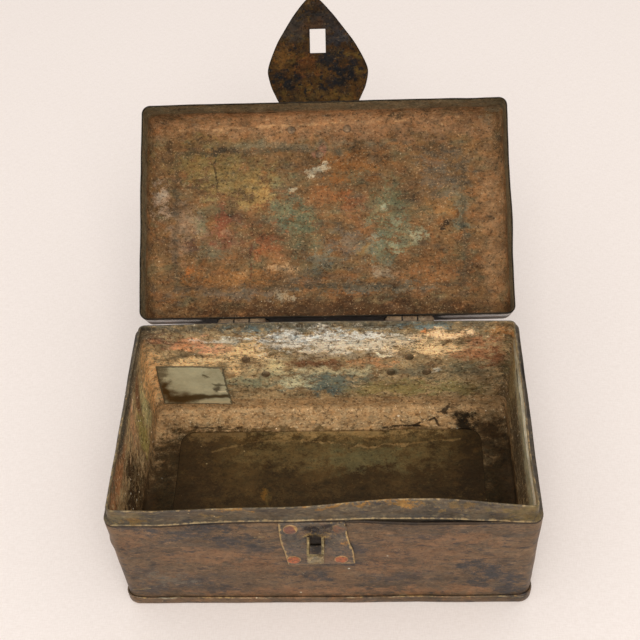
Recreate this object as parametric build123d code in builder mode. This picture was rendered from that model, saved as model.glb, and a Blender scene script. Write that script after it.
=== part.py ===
from build123d import *
import os
from math import atan2, cos, degrees, sin, tan

# Betel box of beaten sheet brass, drawn with its lid open.
# Millimetres, +X right, -Y front, +Z up, origin at the centre of the face it stands on.

# Box body: a bent sheet wall whose lower edge turns in to carry the floor
body_width = 200.0
body_depth = 120.0
ledge_height = 74.0
wall_thickness = 1.2
corner_radius = 5.0
wall_bend = 2.0
floor_flange_width = 16.0
floor_flange_corner = 8.0

# Bottom pan: the floor sheet, its flange turned up round the outside of the wall
pan_thickness = 1.0
pan_flange_height = 6.0
pan_edge_bevel = 1.0
solder_gap = 0.05

# Collar: the raised lip inside the wall, which the lid slips over
collar_thickness = 1.0
collar_depth = 11.0
collar_rise_front = 9.5
collar_rise_rear = 3.4
collar_joggle = 0.45
collar_joggle_top = 0.4
collar_joggle_height = 1.2
collar_lean = 0.5

# Lid: a shallow tray turned over, with a raised panel on top
lid_thickness = 0.8
lid_skirt_depth = 23.0
lid_edge_radius = 3.8
lid_inner_bevel = 1.9
lid_clearance = 0.3
lid_seat_gap = 0.3
lid_open_angle = 147.0
panel_border_side = 18.0
panel_border_front = 19.5
panel_offset_x = -4.0
panel_rise = 2.6
panel_slope = 8.0
panel_corner = 9.0

# Two strap hinges behind
hinge_spacing = 88.4
hinge_width = 23.4
hinge_drop = 0.8
knuckle_radius = 2.4
knuckle_gap = 0.5
leaf_thickness = 1.0
pin_radius = 1.3
pin_clearance = 0.06
pin_head_radius = 1.9
pin_head_length = 0.9
pin_head_bevel = 0.5
body_strap_length = 47.0
body_strap_foot = 31.0
body_strap_rivet_drop = 26.0
body_strap_pair_drop = 39.0
body_strap_pair_spacing = 19.6
lid_strap_height = 14.5
lid_strap_top_width = 27.0
lid_strap_rivet_spacing = 15.0
lid_strap_rivet_height = 11.0

# Hasp: a leaf riveted on the lid, and a heart shaped plate that swings from it
hasp_x = -3.4
hasp_knuckle_width = 40.0
hasp_middle_knuckle = 15.0
hasp_leaf_length = 31.0
hasp_leaf_rivet_spacing = 31.2
hasp_leaf_rivet_inset = 8.5
hasp_leaf_tip_rivet_inset = 22.5
hasp_tilt = 12.0
hasp_root_width = 43.0
hasp_max_width = 56.6
hasp_max_width_at = 22.0
hasp_taper_width = 35.2
hasp_taper_at = 44.0
hasp_length = 63.4
hasp_tip_width = 10.0
hasp_tip_height = 2.5
slot_width = 8.8
slot_length = 13.4
slot_distance = 38.6

# Staple on the front wall, under a riveted plate
staple_plate_width = 32.6
staple_plate_height = 35.5
staple_plate_thickness = 0.8
staple_plate_top_drop = 0.5
staple_rivet_spacing = 22.4
staple_rivet_upper_drop = 5.0
staple_rivet_lower_drop = 31.0
staple_width = 7.8
staple_thickness = 1.1
staple_reach = 9.0
staple_height = 6.5
staple_drop = 11.6
staple_root_rise = 1.6
staple_foot_length = 4.5

# Rivets: hand made, their heads and shanks hammered to facets, as the pins' ends are
rivet_sides = 10
rivet_shank_radius = 1.5
rivet_clearance = 0.05
rivet_hole_reach = 6.0
rivet_head_height = 0.8
rivet_head_radius = 2.4
rivet_head_bevel = 0.7
staple_rivet_head_radius = 3.1

# Repair patch inside, on the rear wall
patch_inset = 4.3
patch_rivet_gap = 0.8
patch_top_drop = 31.0
patch_foot_height = 8.0
patch_thickness = 0.6
patch_corner = 3.0

os.makedirs("parts", exist_ok=True)

# Worked out from the sizes above
wall_inner_x = body_width / 2 - wall_thickness
wall_inner_y = body_depth / 2 - wall_thickness
collar_lower_inset = wall_thickness + solder_gap
collar_upper_inset = collar_lower_inset + collar_joggle
collar_top_inset = collar_upper_inset + collar_lean
lid_inner_inset = collar_upper_inset - lid_clearance
lid_outer_inset = lid_inner_inset - lid_thickness
lid_front = body_depth / 2 - lid_outer_inset
panel_width = body_width - 2 * panel_border_side
panel_depth = body_depth - 2 * panel_border_front
rim_height = ledge_height + lid_seat_gap
border_top = rim_height + lid_skirt_depth
bore_radius = pin_radius + pin_clearance
rivet_hole_radius = rivet_shank_radius + rivet_clearance
hinge_y = body_depth / 2 + knuckle_radius
hinge_z = ledge_height - hinge_drop
hasp_axis_y = -(lid_front + knuckle_gap + knuckle_radius)
hasp_axis_z = border_top + leaf_thickness - knuckle_radius
hasp_root = knuckle_radius + knuckle_gap
hinge_centres = {"left": -hinge_spacing / 2, "right": hinge_spacing / 2}
knuckle_length = (hinge_width - 2 * knuckle_gap) / 3
panel_angle = atan2(panel_rise, panel_slope)

# The open lid is drawn on the closed lid's planes, swung about the hinge axis
lid_swing = Pos(0, hinge_y, hinge_z) * Rot(-lid_open_angle, 0, 0) * Pos(0, -hinge_y, -hinge_z)
hasp_swing = (
    lid_swing * Pos(0, hasp_axis_y, hasp_axis_z) * Rot(hasp_tilt, 0, 0) * Pos(0, -hasp_axis_y, -hasp_axis_z)
)


def on_lid(plane):
    """Return a plane of the closed lid where the open lid carries it."""
    return Plane(lid_swing * plane.location)


def on_hasp(plane):
    """Return a plane of the hasp lying level where the tilted hasp carries it."""
    return Plane(hasp_swing * plane.location)


def front_plane(distance):
    """Return the upright plane this far in front of the centre, facing front."""
    return Plane.XZ.offset(distance)


def ring_profile(plane, inset, corner=corner_radius):
    """Return the body's rounded outline, drawn in by inset, on a plane."""
    with BuildSketch(plane) as outline:
        RectangleRounded(body_width - 2 * inset, body_depth - 2 * inset, corner - inset)
    return outline.sketch


def rivet(grip, head_radius, tail_radius=rivet_head_radius):
    """Return a rivet along +Z: tail head under z = 0, shank, and head on z = grip."""
    with BuildPart() as piece:
        with BuildSketch():
            RegularPolygon(rivet_shank_radius, rivet_sides)
        extrude(amount=grip)
        with BuildSketch(Plane.XY.offset(grip)):
            RegularPolygon(head_radius, rivet_sides)
        extrude(amount=rivet_head_height)
        with BuildSketch():
            RegularPolygon(tail_radius, rivet_sides)
        extrude(amount=-rivet_head_height)
        chamfer(piece.faces().sort_by(Axis.Z)[0].edges(), rivet_head_bevel)
        chamfer(piece.faces().sort_by(Axis.Z)[-1].edges(), rivet_head_bevel)
    return piece.part


def barrel(plane, axis_y, axis_z, tail):
    """Return a rolled knuckle's section: a tube round the pin with a strip leaving it."""
    with BuildSketch(plane) as section:
        with Locations((axis_y, axis_z)):
            Circle(knuckle_radius)
        with BuildLine():
            Polyline(*tail, close=True)
        make_face()
        with Locations((axis_y, axis_z)):
            Circle(bore_radius, mode=Mode.SUBTRACT)
    return section.sketch


def hinge_pin(plane, length):
    """Return a pin along a plane's normal, its two ends peened over."""
    along = Axis(plane.origin, plane.z_dir)
    with BuildPart() as pin:
        with BuildSketch(plane):
            Circle(pin_radius)
        extrude(amount=length)
        with BuildSketch(plane.offset(length)):
            RegularPolygon(pin_head_radius, rivet_sides)
        extrude(amount=pin_head_length)
        with BuildSketch(plane):
            RegularPolygon(pin_head_radius, rivet_sides)
        extrude(amount=-pin_head_length)
        chamfer(pin.faces().sort_by(along)[0].edges(), pin_head_bevel)
        chamfer(pin.faces().sort_by(along)[-1].edges(), pin_head_bevel)
    return pin.part


def hand_in(piece, label):
    """Label a finished piece and write its STEP file."""
    piece.label = label
    export_step(piece, f"parts/{label}.step")


# Places of the rivets, as planes on the inner face that point out of the box
body_rivet_seats = {
    side: [
        Plane(origin=(x + across, wall_inner_y, ledge_height - drop), z_dir=(0, 1, 0))
        for across, drop in (
            (0, body_strap_rivet_drop),
            (-body_strap_pair_spacing / 2, body_strap_pair_drop),
            (body_strap_pair_spacing / 2, body_strap_pair_drop),
        )
    ]
    for side, x in hinge_centres.items()
}
lid_rivet_seats = {
    side: [
        on_lid(Plane(origin=(x + across, lid_front - lid_thickness, rim_height + lid_strap_rivet_height),
                     z_dir=(0, 1, 0)))
        for across in (-lid_strap_rivet_spacing / 2, lid_strap_rivet_spacing / 2)
    ]
    for side, x in hinge_centres.items()
}
hasp_edge_seats = [
    on_lid(
        Plane(
            origin=(
                hasp_x + side * hasp_leaf_rivet_spacing / 2,
                hasp_leaf_rivet_inset - lid_front,
                border_top - lid_thickness,
            ),
            z_dir=(0, 0, 1),
        )
    )
    for side in (-1, 1)
]
hasp_tip_rivet_y = hasp_leaf_tip_rivet_inset - lid_front
hasp_tip_seat = on_lid(
    Plane(
        origin=(
            hasp_x,
            hasp_tip_rivet_y,
            border_top - lid_thickness + (hasp_tip_rivet_y + panel_depth / 2) * tan(panel_angle),
        ),
        x_dir=(1, 0, 0),
        z_dir=(0, -sin(panel_angle), cos(panel_angle)),
    )
)
staple_lower_seats = [
    Plane(origin=(hasp_x + side * staple_rivet_spacing / 2, -wall_inner_y, ledge_height - staple_rivet_lower_drop),
          z_dir=(0, -1, 0))
    for side in (-1, 1)
]
staple_upper_seats = [
    Plane(
        origin=(
            hasp_x + side * staple_rivet_spacing / 2,
            collar_thickness + solder_gap - wall_inner_y,
            ledge_height - staple_rivet_upper_drop,
        ),
        z_dir=(0, -1, 0),
    )
    for side in (-1, 1)
]


def rivet_holes(seats):
    """Cut a rivet's clearance hole through the piece in hand at each seat."""
    for seat in seats:
        with BuildSketch(seat) as hole:
            RegularPolygon(rivet_hole_radius, rivet_sides)
        extrude(hole.sketch, amount=rivet_hole_reach, both=True, mode=Mode.SUBTRACT)


# Body wall: rounded box of sheet, open on top, its floor cut away to an inward flange
with BuildPart() as body_wall:
    add(extrude(ring_profile(Plane.XY.offset(pan_thickness), 0), amount=ledge_height - pan_thickness, mode=Mode.PRIVATE))
    chamfer(body_wall.faces().sort_by(Axis.Z)[0].edges(), wall_bend)
    offset(amount=-wall_thickness, openings=body_wall.faces().sort_by(Axis.Z)[-1])
    with BuildSketch(Plane.XY.offset(pan_thickness)):
        RectangleRounded(
            body_width - 2 * floor_flange_width, body_depth - 2 * floor_flange_width, floor_flange_corner
        )
    extrude(amount=wall_thickness, mode=Mode.SUBTRACT)
    rivet_holes(body_rivet_seats["left"] + body_rivet_seats["right"])
    rivet_holes(staple_lower_seats + staple_upper_seats)
    with BuildSketch(front_plane(wall_inner_y)):
        with Locations((hasp_x, ledge_height - staple_drop - staple_height / 2)):
            Rectangle(staple_width + 2 * solder_gap, staple_height + 2 * solder_gap)
            Rectangle(
                staple_width - 2 * staple_thickness - 2 * solder_gap,
                staple_height + 2 * solder_gap,
                mode=Mode.SUBTRACT,
            )
    extrude(amount=wall_thickness, mode=Mode.SUBTRACT)
hand_in(body_wall.part, "body_wall")

# Bottom pan
pan_inset = -(solder_gap + pan_thickness)
with BuildPart() as bottom_pan:
    add(extrude(ring_profile(Plane.XY, pan_inset), amount=pan_flange_height, mode=Mode.PRIVATE))
    chamfer(bottom_pan.faces().sort_by(Axis.Z)[0].edges(), pan_edge_bevel)
    offset(amount=-pan_thickness, openings=bottom_pan.faces().sort_by(Axis.Z)[-1])
hand_in(bottom_pan.part, "bottom_pan")


# Collar: soldered strip, joggled in above the wall's edge, leaning in and falling to the rear
def collar_form(inset):
    """Return the collar's solid shape, drawn in by inset."""
    joggle_foot = ledge_height - collar_joggle_top - collar_joggle_height
    levels = (
        (ledge_height - collar_depth, collar_lower_inset),
        (joggle_foot, collar_lower_inset),
        (ledge_height - collar_joggle_top, collar_upper_inset),
        (ledge_height + collar_rise_front, collar_top_inset),
    )
    with BuildPart() as form:
        loft([ring_profile(Plane.XY.offset(z), own + inset) for z, own in levels], ruled=True)
    return form.part


collar_outside = collar_form(0)
collar_inside = collar_form(collar_thickness)
with BuildPart() as collar:
    add(collar_outside)
    add(collar_inside, mode=Mode.SUBTRACT)
    split(
        bisect_by=Plane(
            origin=(0, -body_depth / 2, ledge_height + collar_rise_front),
            x_dir=(1, 0, 0),
            z_dir=(0, collar_rise_front - collar_rise_rear, body_depth),
        ),
        keep=Keep.BOTTOM,
    )
    rivet_holes(staple_upper_seats)
hand_in(collar.part, "collar")

# Staple plate
staple_face = body_depth / 2 + staple_plate_thickness
with BuildPart() as staple_plate:
    with BuildSketch(front_plane(body_depth / 2)):
        with Locations((hasp_x, ledge_height - staple_plate_top_drop - staple_plate_height / 2)):
            Rectangle(staple_plate_width, staple_plate_height)
        with Locations((hasp_x, ledge_height - staple_drop - staple_height / 2)):
            Rectangle(staple_width + 2 * solder_gap, staple_height + 2 * solder_gap, mode=Mode.SUBTRACT)
            Rectangle(staple_width - 2 * staple_thickness - 2 * solder_gap, staple_height + 2 * solder_gap)
    extrude(amount=staple_plate_thickness)
    fillet(staple_plate.edges().filter_by(Axis.Y).group_by(Axis.Z)[0], staple_plate_thickness)
    rivet_holes(staple_lower_seats + staple_upper_seats)
hand_in(staple_plate.part, "staple_plate")

# Staple: a strip bent to a loop, both legs through the wall and spread inside it
staple_base = ledge_height - staple_drop - staple_height
staple_tip = staple_face + staple_reach
leg_line = (staple_width - staple_thickness) / 2
foot_line = wall_inner_y - solder_gap - staple_thickness / 2
with BuildPart() as staple_loop:
    with BuildSketch(Plane.XY.offset(staple_base)):
        with BuildLine() as bend:
            FilletPolyline(
                (hasp_x - leg_line - staple_foot_length, -foot_line),
                (hasp_x - leg_line, -foot_line),
                (hasp_x - leg_line, staple_thickness / 2 - staple_tip),
                (hasp_x + leg_line, staple_thickness / 2 - staple_tip),
                (hasp_x + leg_line, -foot_line),
                (hasp_x + leg_line + staple_foot_length, -foot_line),
                radius=staple_thickness / 2 + solder_gap,
            )
        trace(bend.line, line_width=staple_thickness)
    extrude(amount=staple_height)
    with BuildSketch(*[Plane.YZ.offset(hasp_x + side - staple_thickness / 2) for side in (-leg_line, leg_line)]):
        with BuildLine():
            Polyline(
                (-staple_face, staple_base + staple_height),
                (-staple_face, staple_base + staple_height + staple_root_rise),
                (staple_thickness - staple_tip, staple_base + staple_height),
                close=True,
            )
        make_face()
    extrude(amount=staple_thickness)
hand_in(staple_loop.part, "staple_loop")

# Staple plate's four rivets; the upper two hold the collar as well
lower_rivet = rivet(wall_thickness + staple_plate_thickness, staple_rivet_head_radius)
upper_rivet = rivet(
    collar_thickness + solder_gap + wall_thickness + staple_plate_thickness, staple_rivet_head_radius
)
with BuildPart() as staple_rivets:
    with Locations(*staple_lower_seats):
        add(lower_rivet)
    with Locations(*staple_upper_seats):
        add(upper_rivet)
hand_in(staple_rivets.part, "staple_rivets")

# Repair patch soldered on the inside of the rear wall
patch_left = patch_inset - wall_inner_x
patch_right = hinge_centres["left"] - body_strap_pair_spacing / 2 - rivet_head_radius - patch_rivet_gap
with BuildPart() as inside_patch:
    with BuildSketch(Plane.XZ.offset(solder_gap - wall_inner_y)):
        with BuildLine():
            Polyline(
                (patch_left, ledge_height - patch_top_drop),
                (patch_right - patch_corner, ledge_height - patch_top_drop - patch_corner / 2),
                (patch_right, patch_foot_height),
                (patch_left + patch_corner, patch_foot_height + patch_corner),
                close=True,
            )
        make_face()
    extrude(amount=patch_thickness)
    fillet(inside_patch.edges().filter_by(Axis.Y), patch_corner)
hand_in(inside_patch.part, "inside_patch")

# Strap hinges: on each side two knuckles of the body leaf, one of the lid leaf between them
body_strap_rivet = rivet(wall_thickness + leaf_thickness, rivet_head_radius)
lid_strap_rivet = rivet(lid_thickness + leaf_thickness, rivet_head_radius)
rear_face = body_depth / 2
lid_rear = lid_front
notch = knuckle_radius + knuckle_gap
for side, centre in hinge_centres.items():
    knuckle_starts = [
        centre - hinge_width / 2 + step * (knuckle_length + knuckle_gap) for step in range(3)
    ]
    with BuildPart() as body_leaf:
        strap_end = hinge_z - body_strap_length
        with BuildSketch(front_plane(-rear_face - leaf_thickness)):
            with BuildLine():
                top = hinge_z - notch
                foot = body_strap_foot / 2
                Polyline(
                    (centre - hinge_width / 2, top),
                    (centre - foot, ledge_height - body_strap_pair_drop),
                    (centre - foot, strap_end + foot / 3),
                )
                ThreePointArc(
                    (centre - foot, strap_end + foot / 3), (centre - foot / 2, strap_end), (centre, strap_end + foot / 3)
                )
                mirror(about=Plane.YZ.offset(centre))
                Line((centre - hinge_width / 2, top), (centre + hinge_width / 2, top))
            make_face()
        extrude(amount=leaf_thickness)
        strip = [
            (rear_face, hinge_z - notch),
            (rear_face + leaf_thickness, hinge_z - notch),
            (rear_face + leaf_thickness, hinge_z),
            (rear_face, hinge_z),
        ]
        for start in (knuckle_starts[0], knuckle_starts[2]):
            extrude(barrel(Plane.YZ.offset(start), hinge_y, hinge_z, strip), amount=knuckle_length)
        rivet_holes(body_rivet_seats[side])
    hand_in(body_leaf.part, f"{side}_hinge_body_leaf")

    with BuildPart() as lid_leaf:
        strap_foot = hinge_z + notch
        with BuildSketch(on_lid(front_plane(-lid_rear - leaf_thickness))):
            with Locations((centre, strap_foot)):
                Trapezoid(
                    lid_strap_top_width,
                    lid_strap_height,
                    degrees(atan2(lid_strap_height, (hinge_width - lid_strap_top_width) / 2)),
                    align=(Align.CENTER, Align.MIN),
                )
        extrude(amount=leaf_thickness)
        joggle_top = strap_foot + leaf_thickness
        strip = [
            (lid_rear, joggle_top),
            (lid_rear + leaf_thickness, joggle_top),
            (rear_face + leaf_thickness, hinge_z + leaf_thickness),
            (rear_face + leaf_thickness, hinge_z),
            (rear_face, hinge_z),
            (rear_face, hinge_z + leaf_thickness),
        ]
        extrude(barrel(on_lid(Plane.YZ.offset(knuckle_starts[1])), hinge_y, hinge_z, strip), amount=knuckle_length)
        rivet_holes(lid_rivet_seats[side])
    hand_in(lid_leaf.part, f"{side}_hinge_lid_leaf")

    pin_start = Plane(origin=(knuckle_starts[0], hinge_y, hinge_z), z_dir=(1, 0, 0))
    hand_in(hinge_pin(pin_start, hinge_width), f"{side}_hinge_pin")

    with BuildPart() as body_rivets:
        with Locations(*body_rivet_seats[side]):
            add(body_strap_rivet)
    hand_in(body_rivets.part, f"{side}_hinge_body_rivets")

    with BuildPart() as lid_rivets:
        with Locations(*lid_rivet_seats[side]):
            add(lid_strap_rivet)
    hand_in(lid_rivets.part, f"{side}_hinge_lid_rivets")


# Lid shell: skirt with rounded shoulders, bevelled inside, and the softly sloped raised panel
def lid_form(inset, soften, reach):
    """Return the closed lid's solid shape, drawn in by inset, its shoulder softened over a reach."""
    with BuildPart() as form:
        outline = ring_profile(Plane.XY.offset(rim_height), lid_outer_inset + inset)
        extrude(outline, amount=lid_skirt_depth - inset)
        soften(form.faces().sort_by(Axis.Z)[-1].edges(), reach)
        with BuildSketch(Plane.XY.offset(border_top - inset)):
            with Locations((panel_offset_x, 0)):
                RectangleRounded(panel_width, panel_depth, panel_corner)
        extrude(amount=panel_rise, taper=90 - degrees(panel_angle))
    return form.part


open_lid_outside = lid_swing * lid_form(0, fillet, lid_edge_radius)
open_lid_inside = lid_swing * lid_form(lid_thickness, chamfer, lid_inner_bevel)
with BuildPart() as lid_shell:
    add(open_lid_outside)
    add(open_lid_inside, mode=Mode.SUBTRACT)
    rivet_holes(lid_rivet_seats["left"] + lid_rivet_seats["right"])
    rivet_holes(hasp_edge_seats + [hasp_tip_seat])
hand_in(lid_shell.part, "lid_shell")

# Hasp leaf: a leaf shaped plate dressed down over the panel's slope, two knuckles in front
hasp_top = hasp_axis_z + knuckle_radius
leaf_tip = hasp_leaf_length - lid_front
outer_knuckle = (hasp_knuckle_width - hasp_middle_knuckle) / 2 - knuckle_gap
with BuildPart() as hasp_leaf:
    with BuildSketch(on_lid(Plane.YZ.offset(hasp_x))):
        with BuildLine():
            lid_line = Polyline(
                (hasp_axis_y + notch, border_top),
                (-panel_depth / 2, border_top),
                (panel_slope - panel_depth / 2, border_top + panel_rise),
                (leaf_tip, border_top + panel_rise),
            )
            upper_line = add(Pos(0, leaf_thickness) * lid_line)
            Line(lid_line @ 0, lid_line @ 0 + Vector(0, leaf_thickness))
            Line(lid_line @ 1, lid_line @ 1 + Vector(0, leaf_thickness))
        make_face()
    extrude(amount=hasp_knuckle_width, both=True)
    with BuildSketch(on_lid(Plane.XY.offset(border_top))):
        with BuildLine():
            root_line = Line(
                (hasp_x - hasp_knuckle_width / 2, hasp_axis_y + notch),
                (hasp_x + hasp_knuckle_width / 2, hasp_axis_y + notch),
            )
            Spline(
                root_line @ 1,
                (hasp_x + hasp_leaf_rivet_spacing / 2 + 2 * rivet_head_radius, hasp_leaf_rivet_inset - lid_front),
                (hasp_x, leaf_tip),
                tangents=[(0, 1), (-1, 1)],
            )
            mirror(about=Plane.YZ.offset(hasp_x))
        make_face()
    extrude(amount=panel_rise + leaf_thickness, mode=Mode.INTERSECT)
    strip = [
        (hasp_axis_y, hasp_top - leaf_thickness),
        (hasp_axis_y, hasp_top),
        (hasp_axis_y + notch, hasp_top),
        (hasp_axis_y + notch, hasp_top - leaf_thickness),
    ]
    for start in (-hasp_knuckle_width / 2, hasp_middle_knuckle / 2 + knuckle_gap):
        extrude(
            barrel(on_lid(Plane.YZ.offset(hasp_x + start)), hasp_axis_y, hasp_axis_z, strip), amount=outer_knuckle
        )
    rivet_holes(hasp_edge_seats + [hasp_tip_seat])
hand_in(hasp_leaf.part, "hasp_leaf")

with BuildPart() as hasp_leaf_rivets:
    with Locations(*hasp_edge_seats):
        add(rivet(lid_thickness + leaf_thickness, rivet_head_radius))
    with Locations(hasp_tip_seat):
        add(rivet((lid_thickness + leaf_thickness) * cos(panel_angle), rivet_head_radius))
hand_in(hasp_leaf_rivets.part, "hasp_leaf_rivets")

hasp_pin_start = Plane(origin=(hasp_x - hasp_knuckle_width / 2, hasp_axis_y, hasp_axis_z), z_dir=(1, 0, 0))
hand_in(hinge_pin(on_lid(hasp_pin_start), hasp_knuckle_width), "hasp_pin")

# Hasp plate: the swinging heart shaped plate with its slot
with BuildPart() as hasp_plate:
    with BuildSketch(on_hasp(Plane.XY.offset(hasp_top - leaf_thickness))):
        with BuildLine():
            root_line = Line(
                (hasp_x - hasp_root_width / 2, hasp_axis_y - hasp_root),
                (hasp_x + hasp_root_width / 2, hasp_axis_y - hasp_root),
            )
            Spline(
                root_line @ 1,
                (hasp_x + hasp_max_width / 2, hasp_axis_y - hasp_max_width_at),
                (hasp_x + hasp_taper_width / 2, hasp_axis_y - hasp_taper_at),
                (hasp_x + hasp_tip_width / 2, hasp_axis_y - hasp_length + hasp_tip_height),
                tangents=[(1, -1), (-3, -4)],
            )
            mirror(about=Plane.YZ.offset(hasp_x))
            ThreePointArc(
                (hasp_x - hasp_tip_width / 2, hasp_axis_y - hasp_length + hasp_tip_height),
                (hasp_x, hasp_axis_y - hasp_length),
                (hasp_x + hasp_tip_width / 2, hasp_axis_y - hasp_length + hasp_tip_height),
            )
        make_face()
        with Locations((hasp_x, hasp_axis_y - slot_distance)):
            Rectangle(slot_width, slot_length, mode=Mode.SUBTRACT)
    extrude(amount=leaf_thickness)
    strip = [
        (hasp_axis_y, hasp_top - leaf_thickness),
        (hasp_axis_y, hasp_top),
        (hasp_axis_y - hasp_root - leaf_thickness, hasp_top),
        (hasp_axis_y - hasp_root - leaf_thickness, hasp_top - leaf_thickness),
    ]
    middle = barrel(
        on_hasp(Plane.YZ.offset(hasp_x - hasp_middle_knuckle / 2)), hasp_axis_y, hasp_axis_z, strip
    )
    extrude(middle, amount=hasp_middle_knuckle)
hand_in(hasp_plate.part, "hasp_plate")
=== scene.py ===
"""Looks of an open betel box of beaten sheet brass.

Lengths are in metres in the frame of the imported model: +X right, -Y front, +Z up. The lid and the
hasp are drawn shut and level, and swung to where they stand open. Finishes give their own lengths in
millimetres and their tones as 0 to 255.
"""

import logging
import math
from dataclasses import dataclass, field
from enum import Enum
from typing import Any, Callable, Optional, Sequence, Union

import bmesh
import bpy
from mathutils import Matrix, Vector, noise
from mathutils.geometry import delaunay_2d_cdt


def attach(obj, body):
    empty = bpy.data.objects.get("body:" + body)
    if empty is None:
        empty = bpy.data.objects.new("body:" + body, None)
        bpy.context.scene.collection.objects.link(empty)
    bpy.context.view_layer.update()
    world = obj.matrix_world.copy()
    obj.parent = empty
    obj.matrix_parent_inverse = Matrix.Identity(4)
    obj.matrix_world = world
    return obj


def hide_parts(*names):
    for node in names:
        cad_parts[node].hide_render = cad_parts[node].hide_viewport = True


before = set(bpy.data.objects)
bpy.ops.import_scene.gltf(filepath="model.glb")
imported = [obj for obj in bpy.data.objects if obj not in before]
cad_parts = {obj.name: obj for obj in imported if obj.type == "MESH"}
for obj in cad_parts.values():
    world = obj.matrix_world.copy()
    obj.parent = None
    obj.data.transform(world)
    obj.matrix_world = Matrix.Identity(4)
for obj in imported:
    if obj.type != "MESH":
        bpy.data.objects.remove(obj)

LOG = logging.getLogger("betel_box")
MM = 0.001
BEATING_SEED = 5

# Places that several pieces share, in millimetres
HINGES = {"left": -44.2, "right": 44.2}
HASP_X = -3.4
STAPLE_RIVETS = tuple((HASP_X + across, z) for across in (-11.2, 11.2) for z in (43.0, 69.0))

Tone = tuple[int, int, int]
Point = tuple[float, float, float]
Pairs = tuple[tuple[float, float], ...]
Move = Callable[[Vector], Vector]


# Shader nodes


class Value:
    """A number that varies over a surface, held by the socket that carries it."""

    def __init__(self, sheet: "NodeSheet", socket: bpy.types.NodeSocket) -> None:
        """Keep the socket and the node sheet it is on."""
        self.sheet = sheet
        self.socket = socket

    def __add__(self, other: Union["Value", float]) -> "Value":
        """Return self + other."""
        return self.sheet.math("ADD", self, other)

    __radd__ = __add__

    def __sub__(self, other: Union["Value", float]) -> "Value":
        """Return self - other."""
        return self.sheet.math("SUBTRACT", self, other)

    def __rsub__(self, other: float) -> "Value":
        """Return other - self."""
        return self.sheet.math("SUBTRACT", other, self)

    def __mul__(self, other: Union["Value", float]) -> "Value":
        """Return self * other."""
        return self.sheet.math("MULTIPLY", self, other)

    __rmul__ = __mul__

    def clamp(self) -> "Value":
        """Return this value kept between 0 and 1."""
        return Value(self.sheet, self.sheet.node("ShaderNodeClamp", {}, {0: self}).outputs[0])

    def step(self, low: float, high: float) -> "Value":
        """Return a smooth step of this value.

        Args:
            low: where the step leaves 0, or 1 where low is above high.
            high: where the step has arrived.

        Returns:
            The stepped value, from 0 to 1.
        """
        ends = (low, high, 0.0, 1.0) if low < high else (high, low, 1.0, 0.0)
        node = self.sheet.node(
            "ShaderNodeMapRange",
            {"interpolation_type": "SMOOTHSTEP"},
            {"Value": self, 1: ends[0], 2: ends[1], 3: ends[2], 4: ends[3]},
        )
        return Value(self.sheet, node.outputs[0])


class Placing(Enum):
    """Where a finish takes its coordinates from."""

    DRAWN = "drawn"
    OBJECT = "object"


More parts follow.
